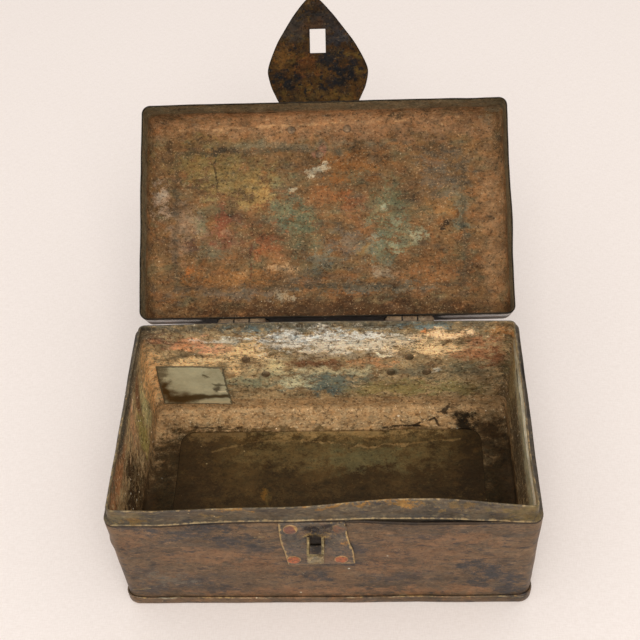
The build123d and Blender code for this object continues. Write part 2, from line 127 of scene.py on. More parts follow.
class NodeSheet:
    """The nodes of one material."""

    STAIN_DRIFT = 16.0
    STREAK_DRIFT = 5.0

    def __init__(self, name: str, placing: Placing) -> None:
        """Start an empty material.

        Args:
            name: the material's name.
            placing: where the coordinates come from.
        """
        self.material = bpy.data.materials.new(name)
        self.material.use_nodes = True
        self.tree = self.material.node_tree
        self.tree.nodes.clear()
        if placing is Placing.DRAWN:
            place = self.node("ShaderNodeAttribute", {"attribute_name": "drawn"}).outputs["Vector"]
        else:
            place = self.node("ShaderNodeTexCoord").outputs["Object"]
        self.place = self.vector("SCALE", place, scale=1 / MM)
        drift = self.node("ShaderNodeTexNoise", {}, {"Vector": self.place, "Scale": 0.11, "Detail": 4.0})
        centred = self.vector("SUBTRACT", drift.outputs["Color"], (0.5, 0.5, 0.5))
        self.ragged = self.vector("ADD", self.place, self.vector("SCALE", centred, scale=self.STAIN_DRIFT))
        self.wavy = self.vector("ADD", self.place, self.vector("SCALE", centred, scale=self.STREAK_DRIFT))
        self.fine = self.noise(1.1, detail=3.0, seed=41.0)
        clumps = self.noise(3.4, (1.7, 1.2, 1.0), detail=4.0, rough=0.65, seed=49.0)
        self.grain = (self.noise(0.7, detail=2.0, seed=47.0) - 0.5) * 0.8 + (clumps - 0.5) * 1.9

    def node(
        self,
        kind: str,
        settings: Optional[dict[str, Any]] = None,
        inputs: Optional[dict[Union[int, str], Any]] = None,
    ) -> bpy.types.Node:
        """Add a node.

        Args:
            kind: the node's type.
            settings: its settings, which are set first.
            inputs: the value or the link of each socket named.

        Returns:
            The node.
        """
        made = self.tree.nodes.new(kind)
        for name, setting in (settings or {}).items():
            setattr(made, name, setting)
        for key, given in (inputs or {}).items():
            given = given.socket if isinstance(given, Value) else given
            if isinstance(given, bpy.types.NodeSocket):
                self.tree.links.new(given, made.inputs[key])
            else:
                made.inputs[key].default_value = given
        return made

    def math(self, operation: str, first: Any, second: Any) -> Value:
        """Return a Math node's result as a value."""
        node = self.node("ShaderNodeMath", {"operation": operation}, {0: first, 1: second})
        return Value(self, node.outputs[0])

    def vector(self, operation: str, first: Any, second: Any = None, scale: Optional[float] = None) -> Any:
        """Return a Vector Math node's vector."""
        inputs: dict[Union[int, str], Any] = {0: first}
        if second is not None:
            inputs[1] = second
        if scale is not None:
            inputs["Scale"] = scale
        return self.node("ShaderNodeVectorMath", {"operation": operation}, inputs).outputs[0]

    def dot(self, first: Any, second: Any) -> Value:
        """Return two vectors' dot product."""
        node = self.node("ShaderNodeVectorMath", {"operation": "DOT_PRODUCT"}, {0: first, 1: second})
        return Value(self, node.outputs["Value"])

    def length(self, first: Any) -> Value:
        """Return a vector's length."""
        node = self.node("ShaderNodeVectorMath", {"operation": "LENGTH"}, {0: first})
        return Value(self, node.outputs["Value"])

    def part(self, vector: Any, axis: int) -> Value:
        """Return a vector's x, y or z, by the axis's number."""
        return Value(self, self.node("ShaderNodeSeparateXYZ", {}, {0: vector}).outputs[axis])

    def noise(
        self,
        size: float,
        stretch: Point = (1.0, 1.0, 1.0),
        detail: float = 4.0,
        rough: float = 0.55,
        seed: float = 0.0,
    ) -> Value:
        """Return a noise over the surface.

        Args:
            size: how far apart its patches lie, in millimetres.
            stretch: how many times longer they are along each axis.
            detail: how many finer levels it has.
            rough: how strong these are.
            seed: shifts the pattern, so that no two agree.

        Returns:
            The noise, about 0.5.
        """
        frequency = tuple(1 / (size * part) for part in stretch)
        scaled = self.vector("MULTIPLY", self.place, frequency)
        moved = self.vector("ADD", scaled, (seed, seed * 1.7, seed * 0.6))
        inputs = {"Vector": moved, "Scale": 1.0, "Detail": detail, "Roughness": rough}
        return Value(self, self.node("ShaderNodeTexNoise", {}, inputs).outputs[0])

    def mix(self, share: Any, first: Any, second: Any, mode: str = "MIX") -> Any:
        """Return a colour between two, or one laid on the other in another mode."""
        inputs = {0: share, 6: first, 7: second}
        return self.node("ShaderNodeMix", {"data_type": "RGBA", "blend_type": mode}, inputs).outputs[2]

    def wear(self) -> Value:
        """Return how worn the piece is, as its mesh says."""
        return Value(self, self.node("ShaderNodeAttribute", {"attribute_name": "wear"}).outputs["Fac"])


def linear(tone: Tone) -> tuple[float, float, float, float]:
    """Return a tone as the linear colour that a shader takes."""
    parts = [level / 255 for level in tone]
    return (*(p / 12.92 if p <= 0.04045 else ((p + 0.055) / 1.055) ** 2.4 for p in parts), 1.0)


# Finishes


@dataclass(frozen=True)
class Coat:
    """One layer of a finish, and what it does where it lies."""

    tone: Optional[Tone] = None
    strength: float = 1.0
    rough: Optional[float] = None
    metal: Optional[float] = None
    rise: float = 0.0

    def mask(self, sheet: NodeSheet) -> Value:
        """Return where the layer lies, from 0 to 1."""
        raise NotImplementedError


@dataclass(frozen=True)
class Mottle(Coat):
    """A layer in patches of about one size."""

    size: float = 10.0
    stretch: Point = (1.0, 1.0, 1.0)
    low: float = 0.45
    high: float = 0.65
    seed: float = 0.0
    detail: float = 4.0

    def mask(self, sheet: NodeSheet) -> Value:
        """Return the patches."""
        return sheet.noise(self.size, self.stretch, self.detail, seed=self.seed).step(self.low, self.high)


@dataclass(frozen=True)
class Speck(Coat):
    """Small grains, a few here and there."""

    spacing: float = 5.0
    grain: float = 0.12
    share: float = 0.3
    seed: float = 0.0

    def mask(self, sheet: NodeSheet) -> Value:
        """Return the grains."""
        shifted = sheet.vector("ADD", sheet.place, (self.seed, self.seed, self.seed))
        cells = sheet.node("ShaderNodeTexVoronoi", {}, {"Vector": shifted, "Scale": 1 / self.spacing})
        size = sheet.part(cells.outputs["Color"], 1) * self.grain + self.grain * 0.4
        grain = (Value(sheet, cells.outputs["Distance"]) - size + sheet.fine * 0.1).step(0.06, 0.0)
        return grain * sheet.part(cells.outputs["Color"], 0).step(1 - self.share, 1 - self.share + 0.02)


@dataclass(frozen=True)
class Stain(Coat):
    """One ragged patch at a place on the sheet."""

    at: Point = (0.0, 0.0, 0.0)
    reach: Point = (10.0, 10.0, 10.0)
    broken: float = 1.6

    def mask(self, sheet: NodeSheet) -> Value:
        """Return the patch."""
        away = sheet.vector("SUBTRACT", sheet.ragged, self.at)
        away = sheet.vector("MULTIPLY", away, tuple(1 / part for part in self.reach))
        return (sheet.length(away) + sheet.grain * self.broken).step(1.2, 0.35)


@dataclass(frozen=True)
class Band(Coat):
    """A layer between two heights."""

    start: float = 0.0
    end: float = 10.0
    soft: float = 2.0
    ragged: float = 1.0

    def mask(self, sheet: NodeSheet) -> Value:
        """Return the band."""
        level = sheet.part(sheet.place, 2) + (sheet.fine - 0.5) * (self.ragged * 2)
        return level.step(self.start - self.soft, self.start) * level.step(self.end + self.soft, self.end)


@dataclass(frozen=True)
class GapShade(Coat):
    """A narrow dark line across X, above a level: painted shade in the gap between two knuckles."""

    x: float = 0.0
    wide: float = 0.7
    foot: float = 70.5

    def mask(self, sheet: NodeSheet) -> Value:
        """Return the painted shade of the gap."""
        away = sheet.math("ABSOLUTE", sheet.part(sheet.place, 0) - self.x, 0.0)
        above = sheet.part(sheet.place, 2).step(self.foot - 1, self.foot)
        return away.step(self.wide * 0.7, self.wide * 0.4) * above


@dataclass(frozen=True)
class Streak(Coat):
    """A line from one place to another."""

    start: Point = (0.0, 0.0, 0.0)
    end: Point = (10.0, 0.0, 0.0)
    width: float = 1.0
    broken: float = 1.0

    def mask(self, sheet: NodeSheet) -> Value:
        """Return the line."""
        run = Vector(self.end) - Vector(self.start)
        away = sheet.vector("SUBTRACT", sheet.wavy, self.start)
        share = sheet.dot(away, tuple(run / run.length_squared)).clamp()
        off = sheet.vector("SUBTRACT", away, sheet.vector("SCALE", tuple(run), scale=share))
        return (sheet.length(off) * (1 / self.width) + sheet.grain * self.broken).step(1.2, 0.35)


@dataclass(frozen=True)
class Edging(Coat):
    """A line along the four sides of a rectangle that lies level."""

    centre: float = 0.0
    half_x: float = 80.0
    half_y: float = 40.0
    width: float = 2.0

    def mask(self, sheet: NodeSheet) -> Value:
        """Return the line."""
        away = sheet.vector("ABSOLUTE", sheet.vector("SUBTRACT", sheet.wavy, (self.centre, 0.0, 0.0)))
        past_x = sheet.part(away, 0) - self.half_x
        past_y = sheet.part(away, 1) - self.half_y
        off = sheet.math("ABSOLUTE", sheet.math("MAXIMUM", past_x, past_y), 0.0)
        return (off * (1 / self.width) + sheet.grain * 2.4).step(1.2, 0.3)


@dataclass(frozen=True)
class Worn(Coat):
    """Metal rubbed bare where the mesh says that it is worn."""

    low: float = 0.45
    high: float = 0.7
    size: float = 2.2
    ragged: float = 0.9
    seed: float = 7.0

    def mask(self, sheet: NodeSheet) -> Value:
        """Return the rubbed places."""
        grain = sheet.noise(self.size, seed=self.seed, detail=5.0)
        return (sheet.wear() + (grain - 0.5) * self.ragged).step(self.low, self.high)


@dataclass(frozen=True)
class Face:
    """A side of the sheet, where stains and streaks are placed by two coordinates."""

    axes: tuple[int, int]
    level: float
    depth: float
    strength: float
    broken: float
    rough: Optional[float] = None
    metal: Optional[float] = None

    def point(self, first: float, second: float, across: float) -> Point:
        """Return a point from two coordinates on the face and the one across it."""
        made = [across] * 3
        made[self.axes[0]], made[self.axes[1]] = first, second
        return (made[0], made[1], made[2])

    def stain(
        self,
        tone: Tone,
        first: float,
        second: float,
        wide: float,
        high: float,
        strength: Optional[float] = None,
        broken: Optional[float] = None,
        rise: float = 0.0,
        **more: float,
    ) -> Stain:
        """Return a stain on the face.

        Args:
            tone: its tone.
            first: where it lies along the face's first axis.
            second: where it lies along the second.
            wide: its reach along the first axis.
            high: its reach along the second.
            strength: how well it covers, where the face's own isn't meant.
            broken: how much its edge breaks up, where the face's own isn't meant.
            rise: how high its crust stands.
            more: its own roughness or metal.

        Returns:
            The stain.
        """
        return Stain(
            tone, self.strength if strength is None else strength, rise=rise,
            at=self.point(first, second, self.level), reach=self.point(wide, high, self.depth),
            broken=self.broken if broken is None else broken,
            **{"rough": self.rough, "metal": self.metal, **more},
        )

    def stains(self, *rows: Sequence[Any]) -> tuple[Stain, ...]:
        """Return a stain for each row of stain()'s arguments."""
        return tuple(self.stain(*row) for row in rows)

    def streak(
        self,
        tone: Tone,
        start: tuple[float, float],
        end: tuple[float, float],
        width: float,
        broken: float,
        strength: float = 0.85,
        **more: float,
    ) -> Streak:
        """Return a streak on the face.

        Args:
            tone: its tone.
            start: where it starts, along the face's two axes.
            end: where it ends.
            width: its half width.
            broken: how much it breaks up.
            strength: how well it covers.
            more: its own roughness, metal or rise.

        Returns:
            The streak.
        """
        return Streak(
            tone, strength, start=self.point(*start, self.level), end=self.point(*end, self.level),
            width=width, broken=broken, **more,
        )

    def streaks(self, *rows: Sequence[Any]) -> tuple[Streak, ...]:
        """Return a streak for each row of streak()'s arguments."""
        return tuple(self.streak(*row) for row in rows)


@dataclass(frozen=True)
class Finish:
    """A surface: two tones that drift into each other, and the coats on them."""

    name: str
    dark: Tone
    light: Tone
    rough: float = 0.6
    metal: float = 0.2
    drift: float = 22.0
    stretch: Point = (1.0, 1.0, 1.0)
    pitting: float = 0.03
    grain: float = 1.6
    gain: float = 1.0
    gloss: float = 0.25
    coats: tuple[Coat, ...] = ()
    placing: Placing = Placing.DRAWN

    def tone(self, given: Tone) -> tuple[float, float, float, float]:
        """Return a tone as it is seen, made lighter for a surface that stands in the shade."""
        red, green, blue, alpha = linear(given)
        return (red * self.gain, green * self.gain, blue * self.gain, alpha)

    def material(self) -> bpy.types.Material:
        """Build the finish once.

        Returns:
            The material, new or the one made before.
        """
        known = bpy.data.materials.get(self.name)
        if known:
            return known
        sheet = NodeSheet(self.name, self.placing)
        base = sheet.noise(self.drift, self.stretch, detail=6.0, seed=1.0)
        colour = sheet.mix(base.step(0.3, 0.7), self.tone(self.dark), self.tone(self.light))
        rough = base * 0.2 + (self.rough - 0.1)
        metal: Any = self.metal
        height = sheet.fine * self.pitting + sheet.noise(0.45, detail=3.0, seed=13.0) * (self.pitting * 0.7)
        for coat in self.coats:
            mask = coat.mask(sheet) * coat.strength
            if coat.tone is not None:
                colour = sheet.mix(mask, colour, self.tone(coat.tone))
            if coat.rough is not None:
                rough = rough + (coat.rough - rough) * mask
            if coat.metal is not None:
                metal = (coat.metal - metal) * mask + metal
            if coat.rise:
                height = height + mask * coat.rise
        fine = sheet.noise(1.2, (1.5, 1.1, 1.0), detail=3.0, rough=0.75, seed=29.0) - 0.5
        broad = sheet.noise(3.6, (1.9, 1.3, 1.0), detail=5.0, rough=0.7, seed=30.0) - 0.5
        patchy = sheet.noise(12.0, (1.7, 1.2, 1.0), detail=4.0, seed=32.0) - 0.5
        light = fine * (self.grain * 0.85) + broad * (self.grain * 0.95) + patchy * (self.grain * 0.6) + 1.0
        hue = sheet.noise(3.0, (1.6, 1.2, 1.0), detail=5.0, rough=0.7, seed=31.0) - 0.5
        warm = hue * (self.grain * 0.32)
        shade = sheet.node("ShaderNodeCombineColor", {}, {0: light + warm, 1: light, 2: light - warm})
        colour = sheet.mix(1.0, colour, shade.outputs[0], "MULTIPLY")
        bump = sheet.node("ShaderNodeBump", {}, {"Strength": 1.0, "Distance": MM, "Height": height})
        skin = sheet.node(
            "ShaderNodeBsdfPrincipled",
            {},
            {
                "Base Color": colour, "Roughness": rough, "Metallic": metal, "Normal": bump.outputs[0],
                "Specular IOR Level": self.gloss,
            },
        )
        sheet.node("ShaderNodeOutputMaterial", {}, {"Surface": skin.outputs[0]})
        return sheet.material


# How many times longer than high the patches on the upright walls are
LYING: Point = (4.0, 4.0, 1.0)
ALONG: Point = (3.0, 3.0, 1.0)

BRASS: Tone = (176, 142, 88)
SLATE: Tone = (64, 62, 62)
RUST: Tone = (142, 104, 72)
CREAM: Tone = (200, 166, 118)
CHALK: Tone = (178, 170, 154)
TEAL: Tone = (80, 88, 78)
OLIVE: Tone = (112, 98, 60)
DARK_TAN: Tone = (36, 27, 14)
VERDIGRIS: Tone = (108, 110, 80)
SOOT: Tone = (24, 25, 28)

# Each face's two axes, its level across them, and how deep a stain reaches there
FRONT = Face((0, 2), -60.0, 8.0, strength=0.75, broken=2.4)
PROUD = Face((0, 2), -61.0, 6.0, strength=0.9, broken=2.0)
COLLAR = Face((0, 2), -58.0, 6.0, strength=0.9, broken=3.0)
REAR = Face((0, 2), 57.5, 12.0, strength=0.8, broken=1.7, rough=0.85, metal=0.0)
PATCH = Face((0, 2), 58.0, 8.0, strength=0.9, broken=1.2)
SKIRT = Face((0, 2), 59.4, 8.0, strength=0.9, broken=1.6)
LEFT = Face((1, 2), -98.0, 8.0, strength=0.8, broken=1.3)
RIGHT = Face((1, 2), 98.0, 8.0, strength=0.85, broken=1.6)
FLANGE = Face((0, 1), 2.0, 9.0, strength=0.9, broken=1.2, rough=0.7, metal=0.0)
FLOOR = Face((0, 1), 1.0, 6.0, strength=0.8, broken=1.6)
LID = Face((0, 1), 97.0, 14.0, strength=0.6, broken=2.6, rough=0.85, metal=0.0)
HASP = Face((0, 1), 98.0, 9.0, strength=0.92, broken=1.8)

OUTSIDE = Finish(
    "outside_patina", (98, 79, 60), (124, 98, 72), rough=0.5, metal=0.3, drift=26.0, stretch=ALONG,
    grain=1.5, gain=0.8,
    coats=(
        Mottle((136, 102, 72), 0.5, size=9.0, stretch=LYING, low=0.48, high=0.68, seed=3.0),
        Mottle((90, 80, 68), 0.6, size=5.5, stretch=LYING, low=0.52, high=0.68, seed=5.0),
        *FRONT.stains(
            (RUST, -56, 46, 26, 8, 0.6, 2.0), (RUST, -30, 38, 16, 9, 0.6, 2.0),
            (RUST, 40, 48, 30, 12, 0.6, 2.0), (RUST, 30, 34, 20, 8, 0.6, 2.0),
            (RUST, 66, 60, 18, 6, 0.6, 2.0), (RUST, -20, 10, 50, 5, 0.8, 2.0),
            (RUST, 50, 10, 40, 5, 0.8, 2.0), (RUST, -90, 58, 8, 10, 0.6, 2.0),
            (SLATE, -60, 66, 16, 4), (SLATE, -40, 60, 16, 5), (SLATE, -49, 70, 12, 3),
            (SLATE, -83, 71, 12, 3),
            (SLATE, -30, 52, 10, 4, 0.6), (SLATE, 80, 27, 14, 7, 0.9), (SLATE, 70, 36, 12, 6, 0.9),
            (SLATE, 88, 13, 9, 8, 0.9), (SLATE, 74, 18, 8, 4), (SLATE, 14, 50, 8, 8, 0.8),
            (SLATE, 10, 38, 10, 4, 0.8), (SLATE, 46, 62, 9, 2.4, 0.6), (SLATE, -10, 26, 14, 4, 0.8),
            (SLATE, -74, 20, 16, 5, 0.6), (SLATE, -64, 24, 12, 5, 0.6), (SLATE, -86, 30, 8, 8, 0.5),
            (SLATE, -52, 14, 12, 3, 0.7), (SLATE, 30, 25, 14, 3, 0.6), (SLATE, -88, 12, 9, 5, 0.6),
        ),
        Mottle((60, 54, 52), 0.7, size=2.2, stretch=(2.4, 2.4, 1.0), low=0.56, high=0.68, seed=11.0),
        Mottle((156, 120, 88), 0.5, size=1.5, stretch=ALONG, low=0.57, high=0.7, seed=17.0),
        Mottle((44, 37, 33), 0.6, size=0.9, low=0.6, high=0.7, seed=19.0, rise=-0.05),
        Speck((216, 204, 178), 0.9, spacing=6.0, grain=0.08, share=0.2, rough=0.9, metal=0.0),
        Speck((190, 172, 140), 0.8, spacing=3.2, grain=0.12, share=0.18, seed=3.0),
        Stain((140, 124, 100), 0.35, at=(-78, -60, 24), reach=(9, 6, 4), broken=5.0),
        *FRONT.streaks(
            ((170, 148, 106), (-31, 62), (-26, 62.4), 0.5, 1.0, 0.8),
            ((170, 148, 106), (-30, 57), (-24, 57.6), 0.5, 1.4, 0.8),
            ((196, 182, 150), (-12, 31), (-10, 28), 0.5, 0.8, 0.8),
            ((150, 128, 90), (-97, 13), (-88, 14), 0.6, 1.2, 0.8),
        ),
        # Painted highlight: light lines along the floor pan's upper lip at the front, brightest on the left.
        *PROUD.streaks(
            ((176, 160, 132), (-96, 6.6), (-74, 6.0), 0.5, 0.8, 0.8),
            ((160, 140, 108), (-66, 6.2), (-20, 6.0), 0.4, 1.6, 0.7),
            ((160, 140, 108), (10, 6.0), (96, 6.4), 0.4, 1.6, 0.7),
        ),
        Worn(BRASS, 0.85, rough=0.4, metal=0.3, ragged=1.3),
        # Painted shade: dark on the wall where it shows through the staple plate's slot, behind the staple.
        PROUD.streak((38, 30, 22), (-3.4, 63), (-3.4, 54), 5.0, 0.3, 0.97),
        # Painted shadow: a dark band round the top of the wall, under the collar's lip.
        Band((30, 22, 16), 0.75, start=72.6, end=74.0, soft=0.5, ragged=0.5),
    ),
)

COLLAR_OUTSIDE = Finish(
    "collar_patina", (88, 78, 67), (112, 97, 78), rough=0.5, metal=0.35, drift=18.0, stretch=LYING,
    gain=0.76,
    coats=(
        Mottle((122, 104, 80), 0.55, size=4.0, stretch=LYING, low=0.52, high=0.68, seed=23.0),
        Mottle((66, 62, 62), 0.7, size=2.4, stretch=ALONG, low=0.54, high=0.68, seed=27.0),
        *COLLAR.stains(
            ((128, 110, 76), -92, 78, 12, 7, 0.75, 2.4), ((150, 124, 82), -50, 76, 5, 1.6, 0.8, 2.0),
            ((160, 118, 62), -39, 82.8, 5, 2),
        ),
        Stain((156, 114, 60), 0.9, at=(10, -57, 81.6), reach=(16, 6, 1.8), broken=3.4),
        Stain((160, 118, 62), 0.9, at=(34, -56, 81.6), reach=(9, 6, 2.4), broken=3.0),
        Stain((132, 106, 68), 0.8, at=(56, -56, 81), reach=(8, 6, 3), broken=3.4),
        COLLAR.stain((146, 112, 64), -88, 74.8, 7, 1.6, 0.8, 2.4),
        Stain((124, 104, 66), 0.85, at=(92, -58, 79.6), reach=(15, 7, 6), broken=2.4),
        Mottle((150, 130, 98), 0.5, size=1.4, stretch=(2.6, 2.6, 1.0), low=0.57, high=0.7, seed=29.0),
        Worn((176, 148, 104), 0.85, rough=0.45, metal=0.2, low=0.42, high=0.7, ragged=1.5, size=3.0),
        Speck((206, 190, 156), 0.8, spacing=4.0, grain=0.12, share=0.2),
        # Painted shade: a dark line along the right side's ledge and the collar's outer face.
        Streak((26, 21, 17), 0.9, start=(100, 0, 76), end=(100, 52, 76), width=3.2, broken=0.4),
    ),
)

INSIDE = Finish(
    "inside_crust", (102, 84, 58), (142, 120, 86), rough=0.8, metal=0.0, drift=16.0, pitting=0.12, gain=2.3,
    grain=1.8, gloss=0.12,
    coats=(
        Mottle((84, 62, 42), 0.6, size=6.0, stretch=(1.6, 1.0, 1.6), low=0.5, high=0.66, seed=31.0),
        Mottle((154, 130, 94), 0.5, size=3.4, low=0.52, high=0.66, seed=33.0, rise=0.12),
        *REAR.stains(
            ((80, 78, 66), 0, 76, 110, 5.5), ((82, 90, 84), -38, 72, 14, 4, 0.9),
            ((100, 110, 104), 52, 73.4, 15, 3), ((84, 55, 40), -88, 64, 9, 8), ((76, 48, 34), -80, 66, 8, 3),
            ((160, 114, 82), -72, 62, 18, 7), ((172, 134, 86), -60, 53, 9, 4),
            ((170, 118, 88), -60, 56, 12, 6, 0.7), (CREAM, -46, 52, 17, 7, 0.95, 1.7, 0.3),
            (CREAM, -52, 38, 5, 16, 0.95, 1.7, 0.3), (CREAM, -38, 59, 9, 7, 0.9, 1.7, 0.2),
            (CREAM, -75, 46, 27, 4, 0.95, 1.7, 0.3), (CREAM, -97, 42, 4, 12),
            ((176, 122, 82), -75, 60, 6, 4, 0.75), ((150, 146, 130), -54, 64, 13, 3),
            ((96, 82, 60), -72, 52, 12, 2, 0.7), (CHALK, -8, 63.5, 27, 11, 0.95, 1.7, 0.2),
            ((182, 178, 166), -10, 67, 26, 5, 0.85, 1.7, 0.2),
            ((172, 158, 134), 22, 61, 33, 10, 0.9, 1.7, 0.2), ((176, 172, 160), 12, 67, 26, 4, 0.8, 1.7, 0.2),
            ((150, 132, 106), 12, 50, 40, 3, 0.6), ((188, 172, 146), 2, 54, 30, 2.4),
            ((90, 58, 38), -6, 43, 20, 3, 0.85), ((160, 116, 78), 24, 43, 14, 3.6),
            ((172, 156, 116), -30, 38, 11, 5), ((158, 146, 112), 6, 36, 26, 4),
            ((108, 108, 84), -44, 28, 16, 8, 0.85), ((80, 62, 40), -38, 20, 14, 3),
            (TEAL, 0, 26, 26, 9, 0.88), ((72, 82, 76), 0, 20, 20, 5, 0.85),
            ((166, 158, 124), -19, 27, 9, 5, 0.9), ((176, 160, 116), -28, 44, 6, 4, 0.7),
            (OLIVE, 36, 21, 30, 8, 0.85), ((106, 96, 60), 68, 20, 22, 6, 0.85), ((92, 86, 66), 74, 36, 20, 8),
            ((92, 86, 68), 44, 36, 14, 5, 0.7), ((228, 188, 142), 66, 66, 12, 4.4, 0.97, 1.7, 0.3),
            ((214, 176, 130), 60, 66.5, 14, 5, 0.9, 1.7, 0.3),
            ((202, 168, 122), 58, 55, 20, 6.4, 0.95, 1.7, 0.3), ((180, 114, 68), 52, 68.7, 4.4, 2.6, 0.9),
            ((132, 86, 56), 80, 49, 16, 6), ((128, 84, 56), 84, 60, 12, 7),
            ((106, 66, 44), 90, 46, 7, 8, 0.7), ((144, 100, 58), 92, 70, 8, 5, 0.75),
            ((84, 66, 46), 84, 28, 12, 10, 0.5), ((186, 176, 154), 59, 37.4, 2.6, 1.6, 0.7),
            ((214, 206, 186), -35, 69, 2.2, 2, 0.9), ((206, 190, 156), 30, 50, 5, 1.4),
        ),
        *LEFT.stains(
            ((142, 108, 78), 12, 58, 8, 26, 0.9), ((128, 116, 66), 24, 27, 9, 22, 0.9),
            ((150, 142, 100), 38, 32, 7, 18, 0.85), ((172, 134, 90), 54, 30, 9, 40, 0.85),
            ((96, 62, 40), 30, 54, 5, 20), ((62, 58, 48), -10, 76, 90, 6, 0.9),
            ((44, 31, 14), -26, 14, 40, 30, 0.9), ((116, 78, 50), -26, 66, 22, 12, 0.9),
            ((40, 28, 16), -8, 42, 11, 14, 0.92), ((44, 31, 18), -22, 30, 16, 16, 0.9),
            ((118, 80, 52), -46, 58, 8, 24, 0.85),
        ),
        *LEFT.streaks(
            ((60, 54, 44), (-14, 75), (57, 75), 9.0, 0.6, 0.9),
            ((196, 166, 134), (18, 66), (4, 58), 1.3, 1.2),
            ((176, 146, 112), (4, 58), (-4, 44), 1.0, 1.4, 0.8),
            ((150, 122, 92), (-6, 60), (-22, 46), 1.0, 2.0, 0.8),
        ),
        *RIGHT.stains(
            ((52, 44, 32), 10, 34, 80, 28, 0.9), ((116, 100, 66), 46, 52, 12, 34, 0.8),
        ),
        Band((122, 98, 68), 0.9, start=0.0, end=12.5, soft=0.8, ragged=1.4, rise=0.15),
        FLANGE.stain((132, 106, 74), -10, 53, 70, 7, 0.6, 2.4),
        Mottle((58, 42, 28), 0.7, size=1.8, low=0.56, high=0.66, seed=35.0, rise=-0.15),
        Mottle((176, 156, 122), 0.6, size=1.3, low=0.59, high=0.68, seed=37.0, rise=0.15),
        Speck((206, 196, 172), 0.9, spacing=3.4, grain=0.14, share=0.12, rise=0.2),
        Speck((44, 32, 20), 0.8, spacing=2.8, grain=0.14, share=0.16, seed=5.0, rise=-0.2),
        Speck((222, 210, 184), 0.85, spacing=7.0, grain=0.09, share=0.2, seed=9.0, rise=0.3),
        *FLANGE.stains(
            ((72, 55, 32), 0, 43.2, 92, 2.6, 0.85, 2.4), ((50, 37, 20), -80, 42, 13, 8),
            ((56, 42, 23), -60, 44, 20, 4, 0.8, 2.0), ((40, 30, 16), -86, 26, 17, 18, 0.96, 0.7),
            (DARK_TAN, -88, -12, 22, 52, 0.98, 0.3), ((28, 21, 10), 92, -10, 24, 84, 0.98, 0.3),
            ((40, 29, 16), 86, 42, 14, 10, 0.92, 1.0), ((14, 10, 5), 75, 49, 8, 11, 0.97, 1.0),
            ((20, 14, 8), 64, 56, 5, 2),
        ),
        Stain((40, 30, 18), 0.96, at=(98, -6, 5), reach=(7, 58, 12), broken=0.6),
        Stain((42, 31, 18), 0.95, at=(-98, -20, 5), reach=(7, 46, 12), broken=0.8),
        Mottle((52, 36, 18), 0.5, size=3.0, low=0.54, high=0.66, seed=39.0),
        *FLANGE.streaks(
            # Painted shadow: dark lines in the gap under the lifted edge of the flange at the rear right.
            ((20, 13, 7), (30, 45.5), (50, 46.0), 1.1, 1.0, 0.95),
            ((24, 16, 9), (48, 47), (58, 50.5), 0.8, 1.2, 0.9),
            ((24, 16, 9), (58, 50.5), (61, 46.5), 0.9, 0.8, 0.9),
            ((40, 28, 16), (-76, 47.6), (-48, 45.4), 0.7, 1.8),
        ),
        # Painted highlight: a silvery sheen along the upper inner face of the right wall.
        *RIGHT.streaks(
            ((128, 122, 98), (34, 60), (-42, 58), 13.0, 0.7, 0.88),
            ((132, 124, 104), (50, 66), (18, 70), 5.0, 0.8, 0.9),
        ),
        RIGHT.streak((170, 164, 144), (22, 68), (-12, 68), 7.5, 0.7, 0.92, rough=0.4),
        RIGHT.streak((176, 168, 148), (-12, 68), (-44, 70), 7.5, 0.7, 0.92, rough=0.4),
        RIGHT.streak((14, 10, 8), (40, 66), (-20, 58), 1.2, 1.0, 0.9),
        Worn((66, 58, 42), 0.9, rough=0.5, low=0.2, high=0.4, ragged=0.6),
    ),
)

FLOOR_DIRT = Finish(
    "floor_dirt", (56, 41, 20), (76, 57, 30), rough=0.6, metal=0.0, drift=30.0, pitting=0.04,
    gain=1.25, grain=1.3, gloss=0.15,
    coats=(
        Mottle((44, 32, 17), 0.6, size=12.0, low=0.5, high=0.7, seed=43.0),
        Mottle((92, 72, 40), 0.5, size=1.8, low=0.58, high=0.72, seed=45.0),
        *FLOOR.stains(
            ((96, 78, 46), 10, 30, 76, 15, 0.8, 1.4), ((92, 86, 56), 18, 26, 24, 9, 0.6),
            ((112, 90, 54), 4, 42.5, 66, 5, 0.8, 1.8), ((140, 112, 70), 8, 45, 52, 4, 0.8, 2.4),
            ((46, 34, 17), 0, -16, 96, 28, 0.8, 1.4), ((44, 32, 17), 80, 10, 14, 50, 0.85),
            ((52, 38, 20), -78, 4, 16, 60, 0.85), ((62, 46, 26), -72, 38, 18, 7, 0.85, 1.4),
            ((112, 78, 30), -35.3, 2.8, 2.2, 3.2, 0.8, 2.0), ((112, 88, 54), -68, 44, 22, 6, 0.75, 1.8),
            ((96, 76, 38), -33, -2, 2, 6, 0.6),
        ),
        FLOOR.streak((140, 112, 70), (-16, 38.5), (12, 33.8), 0.9, 2.4, 0.85, rise=0.3),
        FLOOR.streak((140, 112, 70), (12, 33.8), (44, 34.6), 1.1, 2.4, 0.9, rise=0.3),
        FLOOR.streak((112, 88, 52), (44, 34.6), (72, 37.5), 0.7, 2.6, 0.8, rise=0.2),
        FLOOR.streak((116, 92, 56), (-66, 31), (-42, 38.4), 0.8, 2.0, 0.75, rise=0.2),
        FLOOR.streak((116, 92, 56), (-42, 38.4), (-20, 38.0), 0.7, 2.4, 0.7, rise=0.2),
        Speck((150, 130, 92), 0.7, spacing=4.0, grain=0.1, share=0.2),
        Mottle((36, 26, 14), 0.5, size=1.4, low=0.58, high=0.68, seed=46.0),
    ),
)


